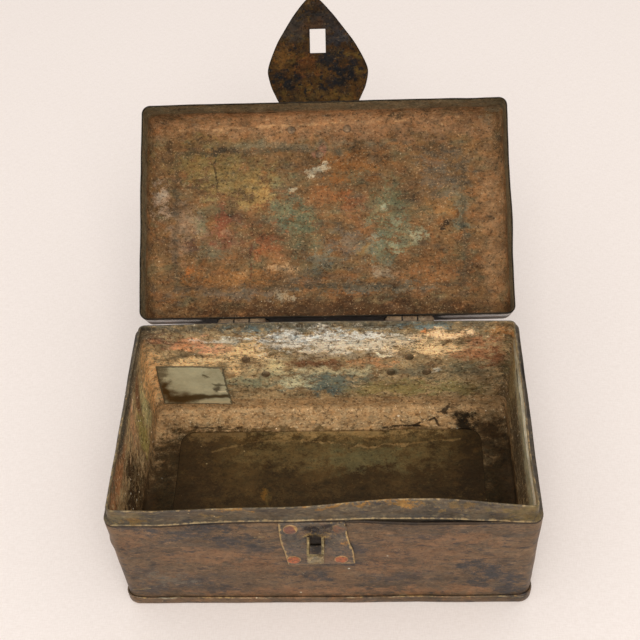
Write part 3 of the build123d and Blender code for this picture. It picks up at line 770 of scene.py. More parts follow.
LID_INSIDE = Finish(
    "lid_inside_crust", (104, 78, 50), (136, 100, 62), rough=0.8, metal=0.0, drift=14.0, pitting=0.1,
    stretch=(1.4, 1.0, 1.0), grain=1.9, gain=0.88, gloss=0.12,
    coats=(
        Mottle((148, 98, 58), 0.6, size=7.0, stretch=(1.8, 1.0, 1.0), low=0.48, high=0.66, seed=51.0),
        Mottle((100, 82, 62), 0.6, size=5.0, stretch=(2.0, 1.0, 1.0), low=0.5, high=0.66, seed=53.0),
        Mottle((112, 104, 74), 0.5, size=9.0, stretch=(1.8, 1.0, 1.0), low=0.52, high=0.66, seed=59.0),
        Stain((168, 122, 82), 0.85, at=(0, -54, 92), reach=(120, 11, 24), broken=1.1),
        Stain((76, 50, 29), 0.85, at=(0, 53, 92), reach=(110, 10, 22), broken=1.6),
        Stain((164, 122, 82), 0.75, at=(92, 0, 94), reach=(9, 66, 16), broken=1.1),
        *LID.stains(
            ((140, 114, 64), -70, -34, 22, 12), ((128, 108, 66), -52, -26, 26, 18),
            ((170, 132, 76), -38, -14, 9, 9, 0.7), ((162, 132, 80), -50, -20, 20, 10),
            (VERDIGRIS, -14, 0, 14, 16, 0.75), ((112, 114, 86), -22, -6, 14, 14, 0.5),
            ((128, 128, 96), -70, 2, 5, 9), ((116, 108, 80), -60, 15, 12, 9), ((138, 72, 54), -59, 1, 4.5, 9),
            ((140, 84, 58), -56, 8, 12, 10, 0.5), ((176, 146, 118), -92, -12, 4, 10, 0.75),
            ((156, 124, 96), -80, 4, 8, 18), ((156, 96, 54), -2, -12, 12, 8),
            ((148, 88, 54), 17, -8, 10, 7, 0.5), ((142, 82, 50), -32, 13, 10, 8, 0.65),
            ((158, 106, 58), -54, 34, 28, 8, 0.7), ((186, 112, 56), -75, 28, 2.4, 2.4, 0.65),
            ((124, 120, 98), -5, 24, 8, 5, 0.65), ((92, 82, 66), -13, 34, 10, 6, 0.7),
            ((196, 152, 106), -27, 26.8, 8, 2.6, 0.7), ((146, 92, 44), 12, -30, 20, 9),
            (VERDIGRIS, 34, -4, 11, 16, 0.7), ((120, 116, 86), 43, 11, 15, 9, 0.7),
            ((114, 116, 88), 30, 18, 12, 8, 0.8), ((112, 100, 84), 14, 14, 14, 10),
            ((112, 110, 88), 31, 26, 9, 5), ((166, 142, 112), 31, 30.6, 6, 3.4, 0.65),
            ((150, 106, 46), 21, 19, 2, 4, 0.5), ((100, 90, 74), 66, -22, 14, 18),
            ((156, 106, 56), 66, -5, 14, 6), ((112, 112, 90), 75, 0, 4, 12, 0.7),
            ((88, 76, 58), 76, 32, 4, 9), ((150, 98, 56), 60, 31, 20, 9),
            ((112, 106, 88), 28, 40, 36, 2.8, 0.75), ((104, 96, 82), -50, 42, 34, 3),
            ((118, 114, 90), 93, -58, 7, 5), ((76, 66, 50), 95, -43, 4, 5, 0.8),
            ((70, 60, 44), 26, -62, 60, 4, 0.8), ((124, 110, 84), -20, -41, 50, 3, 0.7),
            ((132, 96, 66), 40, -50, 60, 6, 0.5), ((168, 162, 128), 33, -6, 3, 4),
            ((154, 150, 116), 38, 3, 4, 4), ((172, 162, 126), 51, 11.3, 5, 3, 0.7),
            ((158, 152, 118), 38, 18, 5, 4, 0.55), ((150, 140, 112), 25, 10, 4, 3, 0.5),
            ((178, 134, 98), -56, 4, 5, 2), ((74, 54, 36), -88, -38, 3, 9, 0.8),
            ((80, 52, 40), -76, 13, 4, 4, 0.7), ((184, 162, 134), -92, -14, 2, 5),
            ((190, 148, 88), -34, -15, 4, 5),
        ),
        # Painted shade: a dark line along the step round the raised panel.
        Edging((80, 68, 50), 0.5, centre=-4.0, half_x=80.0, half_y=39.0, width=1.8),
        *LID.stains(
            ((170, 116, 92), -3, -38, 4, 3.4), ((214, 196, 160), -6, -27.4, 4.6, 2.6, 0.8),
            ((200, 178, 142), -19, -18.2, 3.6, 1.8, 0.75), ((60, 52, 40), -61, -39, 7, 3, 0.8),
        ),
        Streak((62, 48, 32), 0.8, start=(-63, -36, 99), end=(-61, -16, 99), width=0.7, broken=1.6),
        *LID.stains(
            ((54, 42, 30), 66, 4, 2.4, 2.4, 0.9), ((178, 156, 122), -23.4, 44.8, 4.4, 2.4, 0.65),
        ),
        Streak((92, 52, 34), 0.7, start=(-42, 6, 99), end=(-42, 34, 99), width=0.9, broken=1.8),
        # Painted light: the inner face of the skirt made lighter, lifting it out of its shade.
        Band((120, 108, 82), 0.85, start=66.0, end=85.0, soft=4.0, ragged=2.4),
        Mottle((104, 76, 50), 0.4, size=6.0, stretch=(3.0, 1.0, 1.0), low=0.54, high=0.66, seed=56.0),
        Mottle((72, 52, 34), 0.7, size=1.5, low=0.56, high=0.67, seed=55.0, rise=-0.12),
        Mottle((186, 150, 108), 0.6, size=1.1, low=0.57, high=0.68, seed=57.0, rise=0.12),
        Speck((200, 176, 138), 0.7, spacing=3.0, grain=0.12, share=0.12, rise=0.15),
        Speck((54, 38, 26), 0.7, spacing=2.4, grain=0.14, share=0.2, seed=7.0, rise=-0.15),
        Streak((46, 33, 22), 0.9, start=(-56, -58.6, 87), end=(-26, -58.6, 88), width=0.9, broken=1.2),
        Streak((190, 146, 100), 0.7, start=(-84, -52, 96), end=(10, -54, 96), width=0.8, broken=2.4),
        Streak((190, 146, 100), 0.7, start=(40, -55, 96), end=(74, -56, 96), width=0.7, broken=2.4),
        Worn((38, 31, 23), 0.95, rough=0.7, low=0.25, high=0.5),
    ),
)

LID_OUTSIDE = Finish(
    "lid_patina", (86, 72, 60), (122, 98, 76), rough=0.5, metal=0.3, drift=30.0, gloss=0.12,
    coats=(
        Mottle((136, 102, 70), 0.6, size=10.0, low=0.48, high=0.66, seed=61.0),
        Mottle((74, 68, 66), 0.75, size=6.0, low=0.5, high=0.66, seed=63.0),
        # Painted shade: a dark band across the middle of the rear skirt, between the hinges; the two ends are
        # made light and glossy, so that they show a bright reflection.
        SKIRT.streak((24, 20, 17), (-64, 82), (58, 82), 13.0, 0.4, 0.95, rough=0.6, metal=0.1),
        SKIRT.streak((148, 142, 136), (-95, 79.5), (-70, 80), 4.4, 0.6, 0.9, rough=0.22, metal=0.95),
        SKIRT.streak((148, 142, 136), (64, 80), (94, 79.5), 4.4, 0.6, 0.9, rough=0.22, metal=0.95),
        Mottle((60, 54, 50), 0.6, size=1.8, low=0.56, high=0.68, seed=65.0, rise=-0.05),
        Speck((206, 196, 172), 0.7, spacing=5.0, grain=0.1, share=0.12),
        Worn((38, 31, 23), 0.95, rough=0.7, low=0.25, high=0.45),
    ),
)

HASP_BRONZE = Finish(
    "hasp_patina", (58, 38, 15), (84, 56, 22), rough=0.6, metal=0.0, drift=9.0,
    grain=2.2, gain=0.62, gloss=0.06,
    coats=(
        Mottle((104, 78, 32), 0.7, size=5.0, low=0.52, high=0.66, seed=73.0),
        Mottle((52, 38, 28), 0.7, size=7.0, low=0.5, high=0.64, seed=72.0),
        Mottle((26, 25, 26), 0.9, size=3.0, low=0.56, high=0.62, seed=71.0),
        Mottle((140, 84, 34), 0.4, size=2.2, low=0.6, high=0.7, seed=79.0),
        *HASP.stains(
            (SOOT, 2.6, -89.6, 9, 5.5), (SOOT, 8.4, -79.5, 6, 5), (SOOT, -25.6, -82, 4, 5.4),
            (SOOT, -19.5, -77, 2.8, 4.4), (SOOT, -13.7, -80.4, 2.6, 3.4), (SOOT, -0.3, -74, 4.8, 2.4),
            (SOOT, 16.2, -89, 3, 3), (SOOT, 15, -82, 4.4, 3.4), (SOOT, 4, -108.7, 4.6, 7),
            (SOOT, 9, -100, 3, 5),
            ((118, 80, 34), -24, -93, 6, 9, 0.7, 2.0), ((112, 66, 28), -10, -88, 7, 6, 0.6, 2.0),
            ((104, 76, 34), -4, -70, 26, 3, 0.6, 2.0), ((120, 104, 82), 12, -102.7, 5, 2.8, 0.7, 4.0),
            ((64, 56, 48), -18, -110, 16, 10, 0.85, 1.6), ((58, 50, 44), 4, -112, 16, 12, 0.85, 1.6),
            ((50, 46, 46), 8, -103, 8, 6, 0.8, 2.0), ((78, 52, 30), -5, -108, 10, 4, 0.7, 2.0),
        ),
        Mottle((122, 100, 70), 0.6, size=1.5, low=0.6, high=0.7, seed=77.0),
        Mottle((26, 20, 14), 0.8, size=1.2, low=0.56, high=0.66, seed=75.0, rise=-0.05),
        Worn((44, 34, 20), 0.85, low=0.4, high=0.7),
    ),
)

HASP_LEAF_BRONZE = Finish(
    "hasp_leaf_patina", (66, 48, 26), (98, 72, 38), rough=0.5, metal=0.3, drift=8.0, placing=Placing.OBJECT,
    coats=(
        Mottle((38, 29, 20), 0.8, size=4.0, low=0.5, high=0.62, seed=111.0),
        Mottle((126, 98, 58), 0.6, size=2.0, low=0.56, high=0.7, seed=113.0),
    ),
)

STAPLE_PLATE = Finish(
    "staple_plate_patina", (86, 77, 69), (108, 94, 78), rough=0.5, metal=0.3, drift=12.0, gain=0.86,
    coats=(
        Mottle((128, 100, 76), 0.6, size=5.0, low=0.5, high=0.68, seed=81.0),
        Mottle((72, 70, 72), 0.7, size=3.0, low=0.52, high=0.66, seed=83.0),
        *PROUD.stains(
            ((126, 96, 70), 4, 44, 13, 7, 0.7, 1.6), ((44, 36, 34), -3.4, 69.4, 8, 2.4),
            ((176, 144, 88), -3.4, 65.2, 6.4, 1.7, 0.9, 1.8),
        ),
        # Painted shade: dark on the plate round and below the staple's slot.
        PROUD.streak((38, 30, 22), (-3.4, 63), (-3.4, 50), 3.4, 0.3, 0.97),
        PROUD.stain((160, 116, 60), 9.5, 59, 2.6, 3.4, 0.8, 2.2),
        Mottle((150, 122, 84), 0.6, size=1.4, low=0.57, high=0.68, seed=85.0),
        Mottle((52, 48, 48), 0.7, size=1.6, low=0.57, high=0.67, seed=87.0),
        Worn((176, 146, 98), 0.9, rough=0.45, metal=0.3, low=0.36, high=0.62, size=2.6, ragged=1.1),
    ),
)

KNUCKLE_ENDS = (-4.05, 4.05)
# Painted shade in the gaps between the hinges' knuckles.
KNUCKLE_GAP_SHADES = tuple(GapShade((20, 16, 12), 0.9, x=x + end) for x in HINGES.values() for end in KNUCKLE_ENDS)

HINGE_PATINA = Finish(
    "hinge_patina", (98, 78, 58), (134, 110, 82), rough=0.5, metal=0.1, drift=6.0, placing=Placing.OBJECT,
    coats=(
        Mottle((54, 42, 32), 0.7, size=2.0, low=0.54, high=0.66, seed=91.0),
        Mottle((140, 120, 94), 0.6, size=1.2, low=0.56, high=0.7, seed=93.0),
        *KNUCKLE_GAP_SHADES,
    ),
)

STAPLE_BRASS = Finish(
    "staple_brass", (112, 94, 64), (158, 136, 94), rough=0.4, metal=0.4, drift=3.0, placing=Placing.OBJECT,
    gain=1.1,
    coats=(
        Stain((118, 108, 86), 0.85, at=(-3.4, -69.5, 58.8), reach=(3.2, 4, 2.6), broken=0.5),
        Mottle((76, 62, 44), 0.7, size=2.2, low=0.54, high=0.66, seed=95.0),
        Mottle((206, 184, 134), 0.6, size=1.0, low=0.56, high=0.7, seed=97.0),
    ),
)

RIVET_BRASS = Finish(
    "rivet_brass", (104, 82, 60), (142, 112, 80), rough=0.55, metal=0.2, drift=3.0,
    coats=(
        Mottle((70, 56, 42), 0.7, size=1.2, low=0.54, high=0.66, seed=101.0),
        Mottle((178, 150, 112), 0.6, size=0.9, low=0.56, high=0.7, seed=102.0),
        Stain((196, 160, 112), 0.9, at=(-54, 58, 35), reach=(6, 5, 6), broken=0.8),
        Stain((112, 100, 76), 0.8, at=(-40, 57, 42), reach=(8, 5, 12), broken=0.8),
        Stain((100, 86, 62), 0.9, at=(44, 57, 40), reach=(16, 5, 14), broken=1.6),
    ),
)

COPPER = Finish(
    "rivet_copper", (136, 78, 50), (168, 96, 60), rough=0.5, metal=0.1, drift=3.0,
    coats=(
        Mottle((104, 66, 50), 0.8, size=1.6, low=0.5, high=0.64, seed=103.0),
        Mottle((206, 128, 84), 0.6, size=0.8, low=0.58, high=0.7, seed=105.0),
        Stain((100, 72, 62), 0.85, at=(-15.4, -61, 69), reach=(6, 9, 8), broken=0.8),
        Stain((176, 140, 84), 0.9, at=(-11.6, -61, 70.5), reach=(1.2, 9, 3.4), broken=0.8),
        Worn((156, 124, 84), 0.85, rough=0.4, metal=0.3, low=0.4, high=0.65, size=1.6, ragged=1.2),
        Stain((92, 80, 66), 0.95, at=(15, -61, 68.4), reach=(16, 20, 13), broken=0.6),
    ),
)

TINNED_SHEET = Finish(
    "tinned_sheet", (142, 134, 106), (158, 150, 120), rough=0.3, metal=0.0, drift=12.0,
    pitting=0.006, gain=1.9, grain=0.4,
    coats=(
        PATCH.stain((92, 82, 60), -94, 30, 6, 22, 0.95, rough=0.7),
        PATCH.stain((62, 42, 16), -86, 14, 11, 8, 0.97, 0.3, rough=0.3),
        PATCH.stain((62, 42, 16), -90, 22, 5, 11, 0.97, 0.3, rough=0.3),
        PATCH.streak((58, 42, 20), (-86, 14), (-72, 15.4), 3.4, 0.3, 0.97, rough=0.3),
        PATCH.streak((58, 46, 26), (-72, 15.4), (-56, 16.5), 2.4, 0.3, 0.97, rough=0.3),
        PATCH.streak((156, 142, 110), (-74, 11.4), (-57, 10), 1.5, 0.6),
        PATCH.stain((70, 62, 46), -63, 23.4, 2.2, 4, 0.9, 1.0),
        *PATCH.streaks(
            ((80, 74, 54), (-65, 26.6), (-57, 25.6), 0.9, 0.6),
            ((186, 174, 142), (-62, 20.4), (-57, 20.8), 0.9, 0.5, 0.9),
        ),
        *PATCH.stains(
            ((84, 74, 52), -69.4, 35.7, 2.8, 2.2, 0.9, 1.6), ((126, 96, 64), -59.6, 39.4, 2.4, 3.4),
        ),
        Worn((74, 66, 48), 0.9, rough=0.6, low=0.4, high=0.7, ragged=1.0),
    ),
)


# Beaten sheet


@dataclass(frozen=True)
class Swell:
    """A place where the sheet is pushed out of true, in millimetres."""

    at: Point
    reach: Point
    push: Point

    def moved(self, point: Vector) -> Vector:
        """Return how far this swell pushes a point, in metres."""
        away = Vector([(p / MM - a) / r for p, a, r in zip(point, self.at, self.reach)])
        share = max(0.0, 1.0 - away.length_squared)
        return Vector(self.push) * MM * share * share


@dataclass(frozen=True)
class Beating:
    """The hammer's and long use's unevenness, the same for all that lie on each other."""

    amount: float = 0.35 * MM
    pitch: float = 34 * MM
    calm: tuple[tuple[Point, float], ...] = (
        *(((x, 62.0, 60.0), 34.0) for x in HINGES.values()),
        ((HASP_X, -61.0, 97.0), 30.0),
    )
    swells: tuple[Swell, ...] = ()

    def moved(self, point: Vector) -> Vector:
        """Return where the beating leaves a drawn point."""
        share = 1.0
        for at, reach in self.calm:
            away = (point - Vector(at) * MM).length / (reach * MM)
            share = min(share, max(0.0, min(1.0, (away - 0.6) / 0.6)))
        wave = noise.noise_vector(point / self.pitch) + 0.45 * noise.noise_vector(point / self.pitch * 2.9)
        moved = point + Vector((wave.x, wave.y, wave.z * 0.6)) * (self.amount * share)
        for swell in self.swells:
            moved += swell.moved(point)
        return moved


@dataclass(frozen=True)
class Ring:
    """A level outline: a rounded rectangle at a height, its points dense enough to beat."""

    half_x: float
    half_y: float
    corner: float
    z: float
    x: float = 0.0

    ALONG_X = 72
    ALONG_Y = 42
    ROUND = 6

    def towards(self, other: "Ring", share: float) -> "Ring":
        """Return the outline part of the way to another."""
        ends = zip(
            (self.half_x, self.half_y, self.corner, self.z, self.x),
            (other.half_x, other.half_y, other.corner, other.z, other.x),
        )
        return Ring(*(start + (end - start) * share for start, end in ends))

    def points(self) -> list[Vector]:
        """Return the outline's points, anticlockwise from the middle of the left side."""
        arcs: list[list[Vector]] = []
        for index, (side_x, side_y) in enumerate(((-1, -1), (1, -1), (1, 1), (-1, 1))):
            middle = Vector(
                (self.x + side_x * (self.half_x - self.corner), side_y * (self.half_y - self.corner), self.z)
            )
            turns = [math.pi * (1 + index / 2 + step / self.ROUND / 2) for step in range(self.ROUND + 1)]
            arcs.append([middle + self.corner * Vector((math.cos(a), math.sin(a), 0)) for a in turns])
        runs = []
        for index, cells in enumerate((self.ALONG_X, self.ALONG_Y, self.ALONG_X, self.ALONG_Y)):
            start, end = arcs[index][-1], arcs[(index + 1) % 4][0]
            runs.append([start.lerp(end, step / cells) for step in range(1, cells)])
        middle_left = self.ALONG_Y // 2 - 1
        made = runs[3][middle_left:]
        for arc, run in zip(arcs, runs[:3] + [runs[3][:middle_left]]):
            made += arc + run
        return made


@dataclass(frozen=True)
class Course:
    """An outline in a sheet's section, and the strip that leaves from it."""

    ring: Ring
    cells: int = 1
    skin: int = 0


class SheetMesh:
    """Collects the points and faces of one piece."""

    def __init__(self) -> None:
        """Start with nothing."""
        self.points: list[Vector] = []
        self.faces: list[tuple[int, ...]] = []
        self.skins: list[int] = []

    def loop(self, points: Sequence[Vector]) -> list[int]:
        """Add a row of points and return their numbers."""
        start = len(self.points)
        self.points.extend(points)
        return list(range(start, start + len(points)))

    def face(self, corners: Sequence[int], skin: int = 0) -> None:
        """Add a face of a skin."""
        self.faces.append(tuple(corners))
        self.skins.append(skin)

    def strip(self, first: Sequence[int], second: Sequence[int], skin: int = 0) -> None:
        """Join two closed rows by a strip."""
        count = len(first)
        for i in range(count):
            j = (i + 1) % count
            self.face((first[i], first[j], second[j], second[i]), skin)

    def cap(self, row: Sequence[int], skin: int = 0) -> None:
        """Close an outline's row across its middle."""
        count = len(row)
        for i in range(count // 2):
            corners = [row[i], row[i + 1], row[-(i + 1)], row[-i]]
            self.face(tuple(dict.fromkeys(corners)), skin)

    def loft(self, courses: Sequence[Course], closed: bool, shape: Optional[Move] = None) -> None:
        """Lay strips from outline to outline.

        Args:
            courses: the outlines in order round the sheet's section.
            closed: whether the last joins the first; else both ends are capped.
            shape: moves each drawn point.
        """
        rows: list[tuple[list[int], int]] = []
        pairs = list(zip(courses, list(courses[1:]) + [courses[0]]))
        for course, following in pairs if closed else pairs[:-1]:
            for step in range(course.cells):
                ring = course.ring.towards(following.ring, step / course.cells)
                points = ring.points()
                rows.append((self.loop([shape(p) for p in points] if shape else points), course.skin))
        if not closed:
            points = courses[-1].ring.points()
            rows.append((self.loop([shape(p) for p in points] if shape else points), courses[-1].skin))
            self.cap(rows[0][0], rows[0][1])
            self.cap(rows[-1][0], rows[-1][1])
        for (row, skin), (following_row, _) in zip(rows, rows[1:]):
            self.strip(row, following_row, skin)
        if closed:
            self.strip(rows[-1][0], rows[0][0], rows[-1][1])

    def plate(
        self,
        outline: Sequence[Vector],
        holes: Sequence[Sequence[Vector]],
        levels: Callable[[Vector], tuple[float, float]],
        spacing: float,
    ) -> None:
        """Add a flat plate of any outline.

        Args:
            outline: its edge, points in x and y.
            holes: the edges of its holes.
            levels: gives the lower and upper height at a point.
            spacing: how far apart its inner points lie.
        """
        loops = [[Vector(p[:2]) for p in row] for row in (outline, *holes)]
        flat = [p for row in loops for p in row]
        edges, start = [], 0
        for row in loops:
            edges += [(start + i, start + (i + 1) % len(row)) for i in range(len(row))]
            start += len(row)
        low_x, high_x = min(p.x for p in loops[0]), max(p.x for p in loops[0])
        low_y, high_y = min(p.y for p in loops[0]), max(p.y for p in loops[0])
        for i in range(int((high_x - low_x) / spacing) + 1):
            for j in range(int((high_y - low_y) / spacing) + 1):
                p = Vector((low_x + (i + 0.5 * (j % 2)) * spacing, low_y + j * spacing))
                if inside(p, loops) and min(edge_distance(p, row) for row in loops) > spacing * 0.5:
                    flat.append(p)
        made, _, faces, *_ = delaunay_2d_cdt(flat, edges, [], 1, 1e-7)
        top = self.loop([Vector((p.x, p.y, levels(p)[1])) for p in made])
        bottom = self.loop([Vector((p.x, p.y, levels(p)[0])) for p in made])
        kept = [f for f in faces if inside(sum((made[i] for i in f), Vector((0, 0))) / len(f), loops)]
        sides: dict[tuple[int, int], int] = {}
        for corners in kept:
            self.face([top[i] for i in corners])
            self.face([bottom[i] for i in reversed(corners)], 1)
            for i, j in zip(corners, (*corners[1:], corners[0])):
                sides[(i, j)] = sides.get((i, j), 0) + 1
        for i, j in sides:
            if (j, i) not in sides:
                self.face((top[j], top[i], bottom[i], bottom[j]))

    def piece(
        self,
        name: str,
        skins: Sequence[Finish],
        move: Move,
        wear: Optional[Callable[[Vector], float]] = None,
        bevel: float = 0.0,
    ) -> bpy.types.Object:
        """Make the object.

        Args:
            name: its name.
            skins: the finishes that the faces number.
            move: brings a drawn point to where it rests.
            wear: gives how worn the metal is at a drawn point.
            bevel: how far its hard edges are rounded.

        Returns:
            The object, in the scene.
        """
        mesh = bpy.data.meshes.new(name)
        mesh.from_pydata(self.points, [], self.faces)
        work = bmesh.new()
        work.from_mesh(mesh)
        for made, skin in zip(work.faces, self.skins):
            made.material_index = min(skin, len(skins) - 1)
        bmesh.ops.recalc_face_normals(work, faces=work.faces)
        if bevel:
            hard = [e for e in work.edges if e.is_manifold and e.calc_face_angle(0.0) > math.radians(50)]
            bmesh.ops.bevel(work, geom=hard, offset=bevel, segments=2, profile=0.5, affect="EDGES")
        for made in work.faces:
            made.smooth = True
        work.to_mesh(mesh)
        work.free()
        drawn = [v.co.copy() for v in mesh.vertices]
        place = mesh.attributes.new("drawn", "FLOAT_VECTOR", "POINT")
        place.data.foreach_set("vector", [part for p in drawn for part in p])
        worn = mesh.attributes.new("wear", "FLOAT", "POINT")
        worn.data.foreach_set("value", [wear(p) if wear else 0.0 for p in drawn])
        for vertex, point in zip(mesh.vertices, drawn):
            vertex.co = move(point)
        mesh.set_sharp_from_angle(angle=math.radians(45))
        for skin in skins:
            mesh.materials.append(skin.material())
        made_object = bpy.data.objects.new(name, mesh)
        bpy.context.scene.collection.objects.link(made_object)
        LOG.info("%s: %d points", name, len(mesh.vertices))
        return made_object


def edge_distance(point: Vector, row: Sequence[Vector]) -> float:
    """Return how far a point lies from a closed edge."""
    best = 1e9
    for start, end in zip(row, (*row[1:], row[0])):
        along = end - start
        share = max(0.0, min(1.0, (point - start).dot(along) / max(along.length_squared, 1e-12)))
        best = min(best, (point - start - along * share).length)
    return best


def inside(point: Vector, loops: Sequence[Sequence[Vector]]) -> bool:
    """Tell whether a point lies in the first edge and in none of the others."""
    crossed = False
    for row in loops:
        for start, end in zip(row, (*row[1:], row[0])):
            if (start.y > point.y) != (end.y > point.y):
                if point.x < start.x + (point.y - start.y) / (end.y - start.y) * (end.x - start.x):
                    crossed = not crossed
    return crossed


def smooth_line(knots: Sequence[tuple[float, float]], cells: int) -> list[Vector]:
    """Return a smooth line through knots.

    Args:
        knots: points in x and y.
        cells: how many steps lie between two knots.

    Returns:
        The line's points, with the last knot.
    """
    ends = [Vector(k) for k in knots]
    made = []
    for i in range(len(ends) - 1):
        a, b, c, d = ends[max(i - 1, 0)], ends[i], ends[i + 1], ends[min(i + 2, len(ends) - 1)]
        for step in range(cells):
            t = step / cells
            square, cube = 2 * a - 5 * b + 4 * c - d, 3 * b - a - 3 * c + d
            made.append(0.5 * (2 * b + (c - a) * t + square * t * t + cube * t**3))
    return made + [ends[-1]]


def near(value: float, level: float, reach: float) -> float:
    """Return 1 at a level, falling to 0 at a reach from it."""
    return max(0.0, 1.0 - abs(value - level) / reach)


def smooth(share: float) -> float:
    """Return a smooth step from 0 to 1."""
    share = max(0.0, min(1.0, share))
    return share * share * (3 - 2 * share)


# Sub-assemblies


@dataclass
class Barrel:
    """A rolled knuckle along X."""

    y: float
    z: float
    radius: float = 2.4 * MM
    bore: float = 1.36 * MM
    around: int = 28

    def add(self, mesh: SheetMesh, start: float, end: float) -> None:
        """Add the knuckle to a mesh, from one x to another."""
        lip = 0.15 * MM
        section = (
            (start, self.bore), (start, self.radius - lip), (start + lip, self.radius),
            (end - lip, self.radius), (end, self.radius - lip), (end, self.bore),
        )
        turns = [math.tau * i / self.around for i in range(self.around)]
        rows = []
        for x, radius in section:
            centre = Vector((x, self.y, self.z))
            rows.append(mesh.loop([centre + radius * Vector((0, math.cos(a), math.sin(a))) for a in turns]))
        for row, following in zip(rows, rows[1:] + rows[:1]):
            mesh.strip(row, following)


@dataclass
class Rivets:
    """Hand-hammered rivet heads."""

    WASHER = (3.4 * MM, 0.45 * MM)
    HEAD = (2.4 * MM, 0.8 * MM)
    TAIL = (2.4 * MM, 0.7 * MM)
    SPREAD = (2.5 * MM, 0.8 * MM)

    rings: Pairs = ((1.0, 0.0), (0.98, 0.4), (0.86, 0.78), (0.6, 0.96), (0.3, 1.0))
    around: int = 22

    def add(self, mesh: SheetMesh, seat: Vector, up: Vector, size: tuple[float, float]) -> None:
        """Add one head.

        Args:
            mesh: the mesh that takes it.
            seat: the centre of its underside.
            up: the way that it stands off the sheet.
            size: its radius and its height.
        """
        radius, height = size
        side = up.orthogonal().normalized()
        other = up.cross(side)
        rows = []
        for share, level in self.rings:
            row = []
            for i in range(self.around):
                turn = math.tau * i / self.around
                out = side * math.cos(turn) + other * math.sin(turn)
                uneven = 1 + 0.09 * noise.noise(seat * 900 + out * 1.3)
                dent = 1 + 0.25 * noise.noise(seat * 700 + out * share * 2.2)
                row.append(seat + out * (radius * share * uneven) + up * (height * level * dent))
            rows.append(mesh.loop(row))
        for row, following in zip(rows, rows[1:]):
            mesh.strip(row, following)
        mesh.face(rows[-1])
        mesh.face(list(reversed(rows[0])))


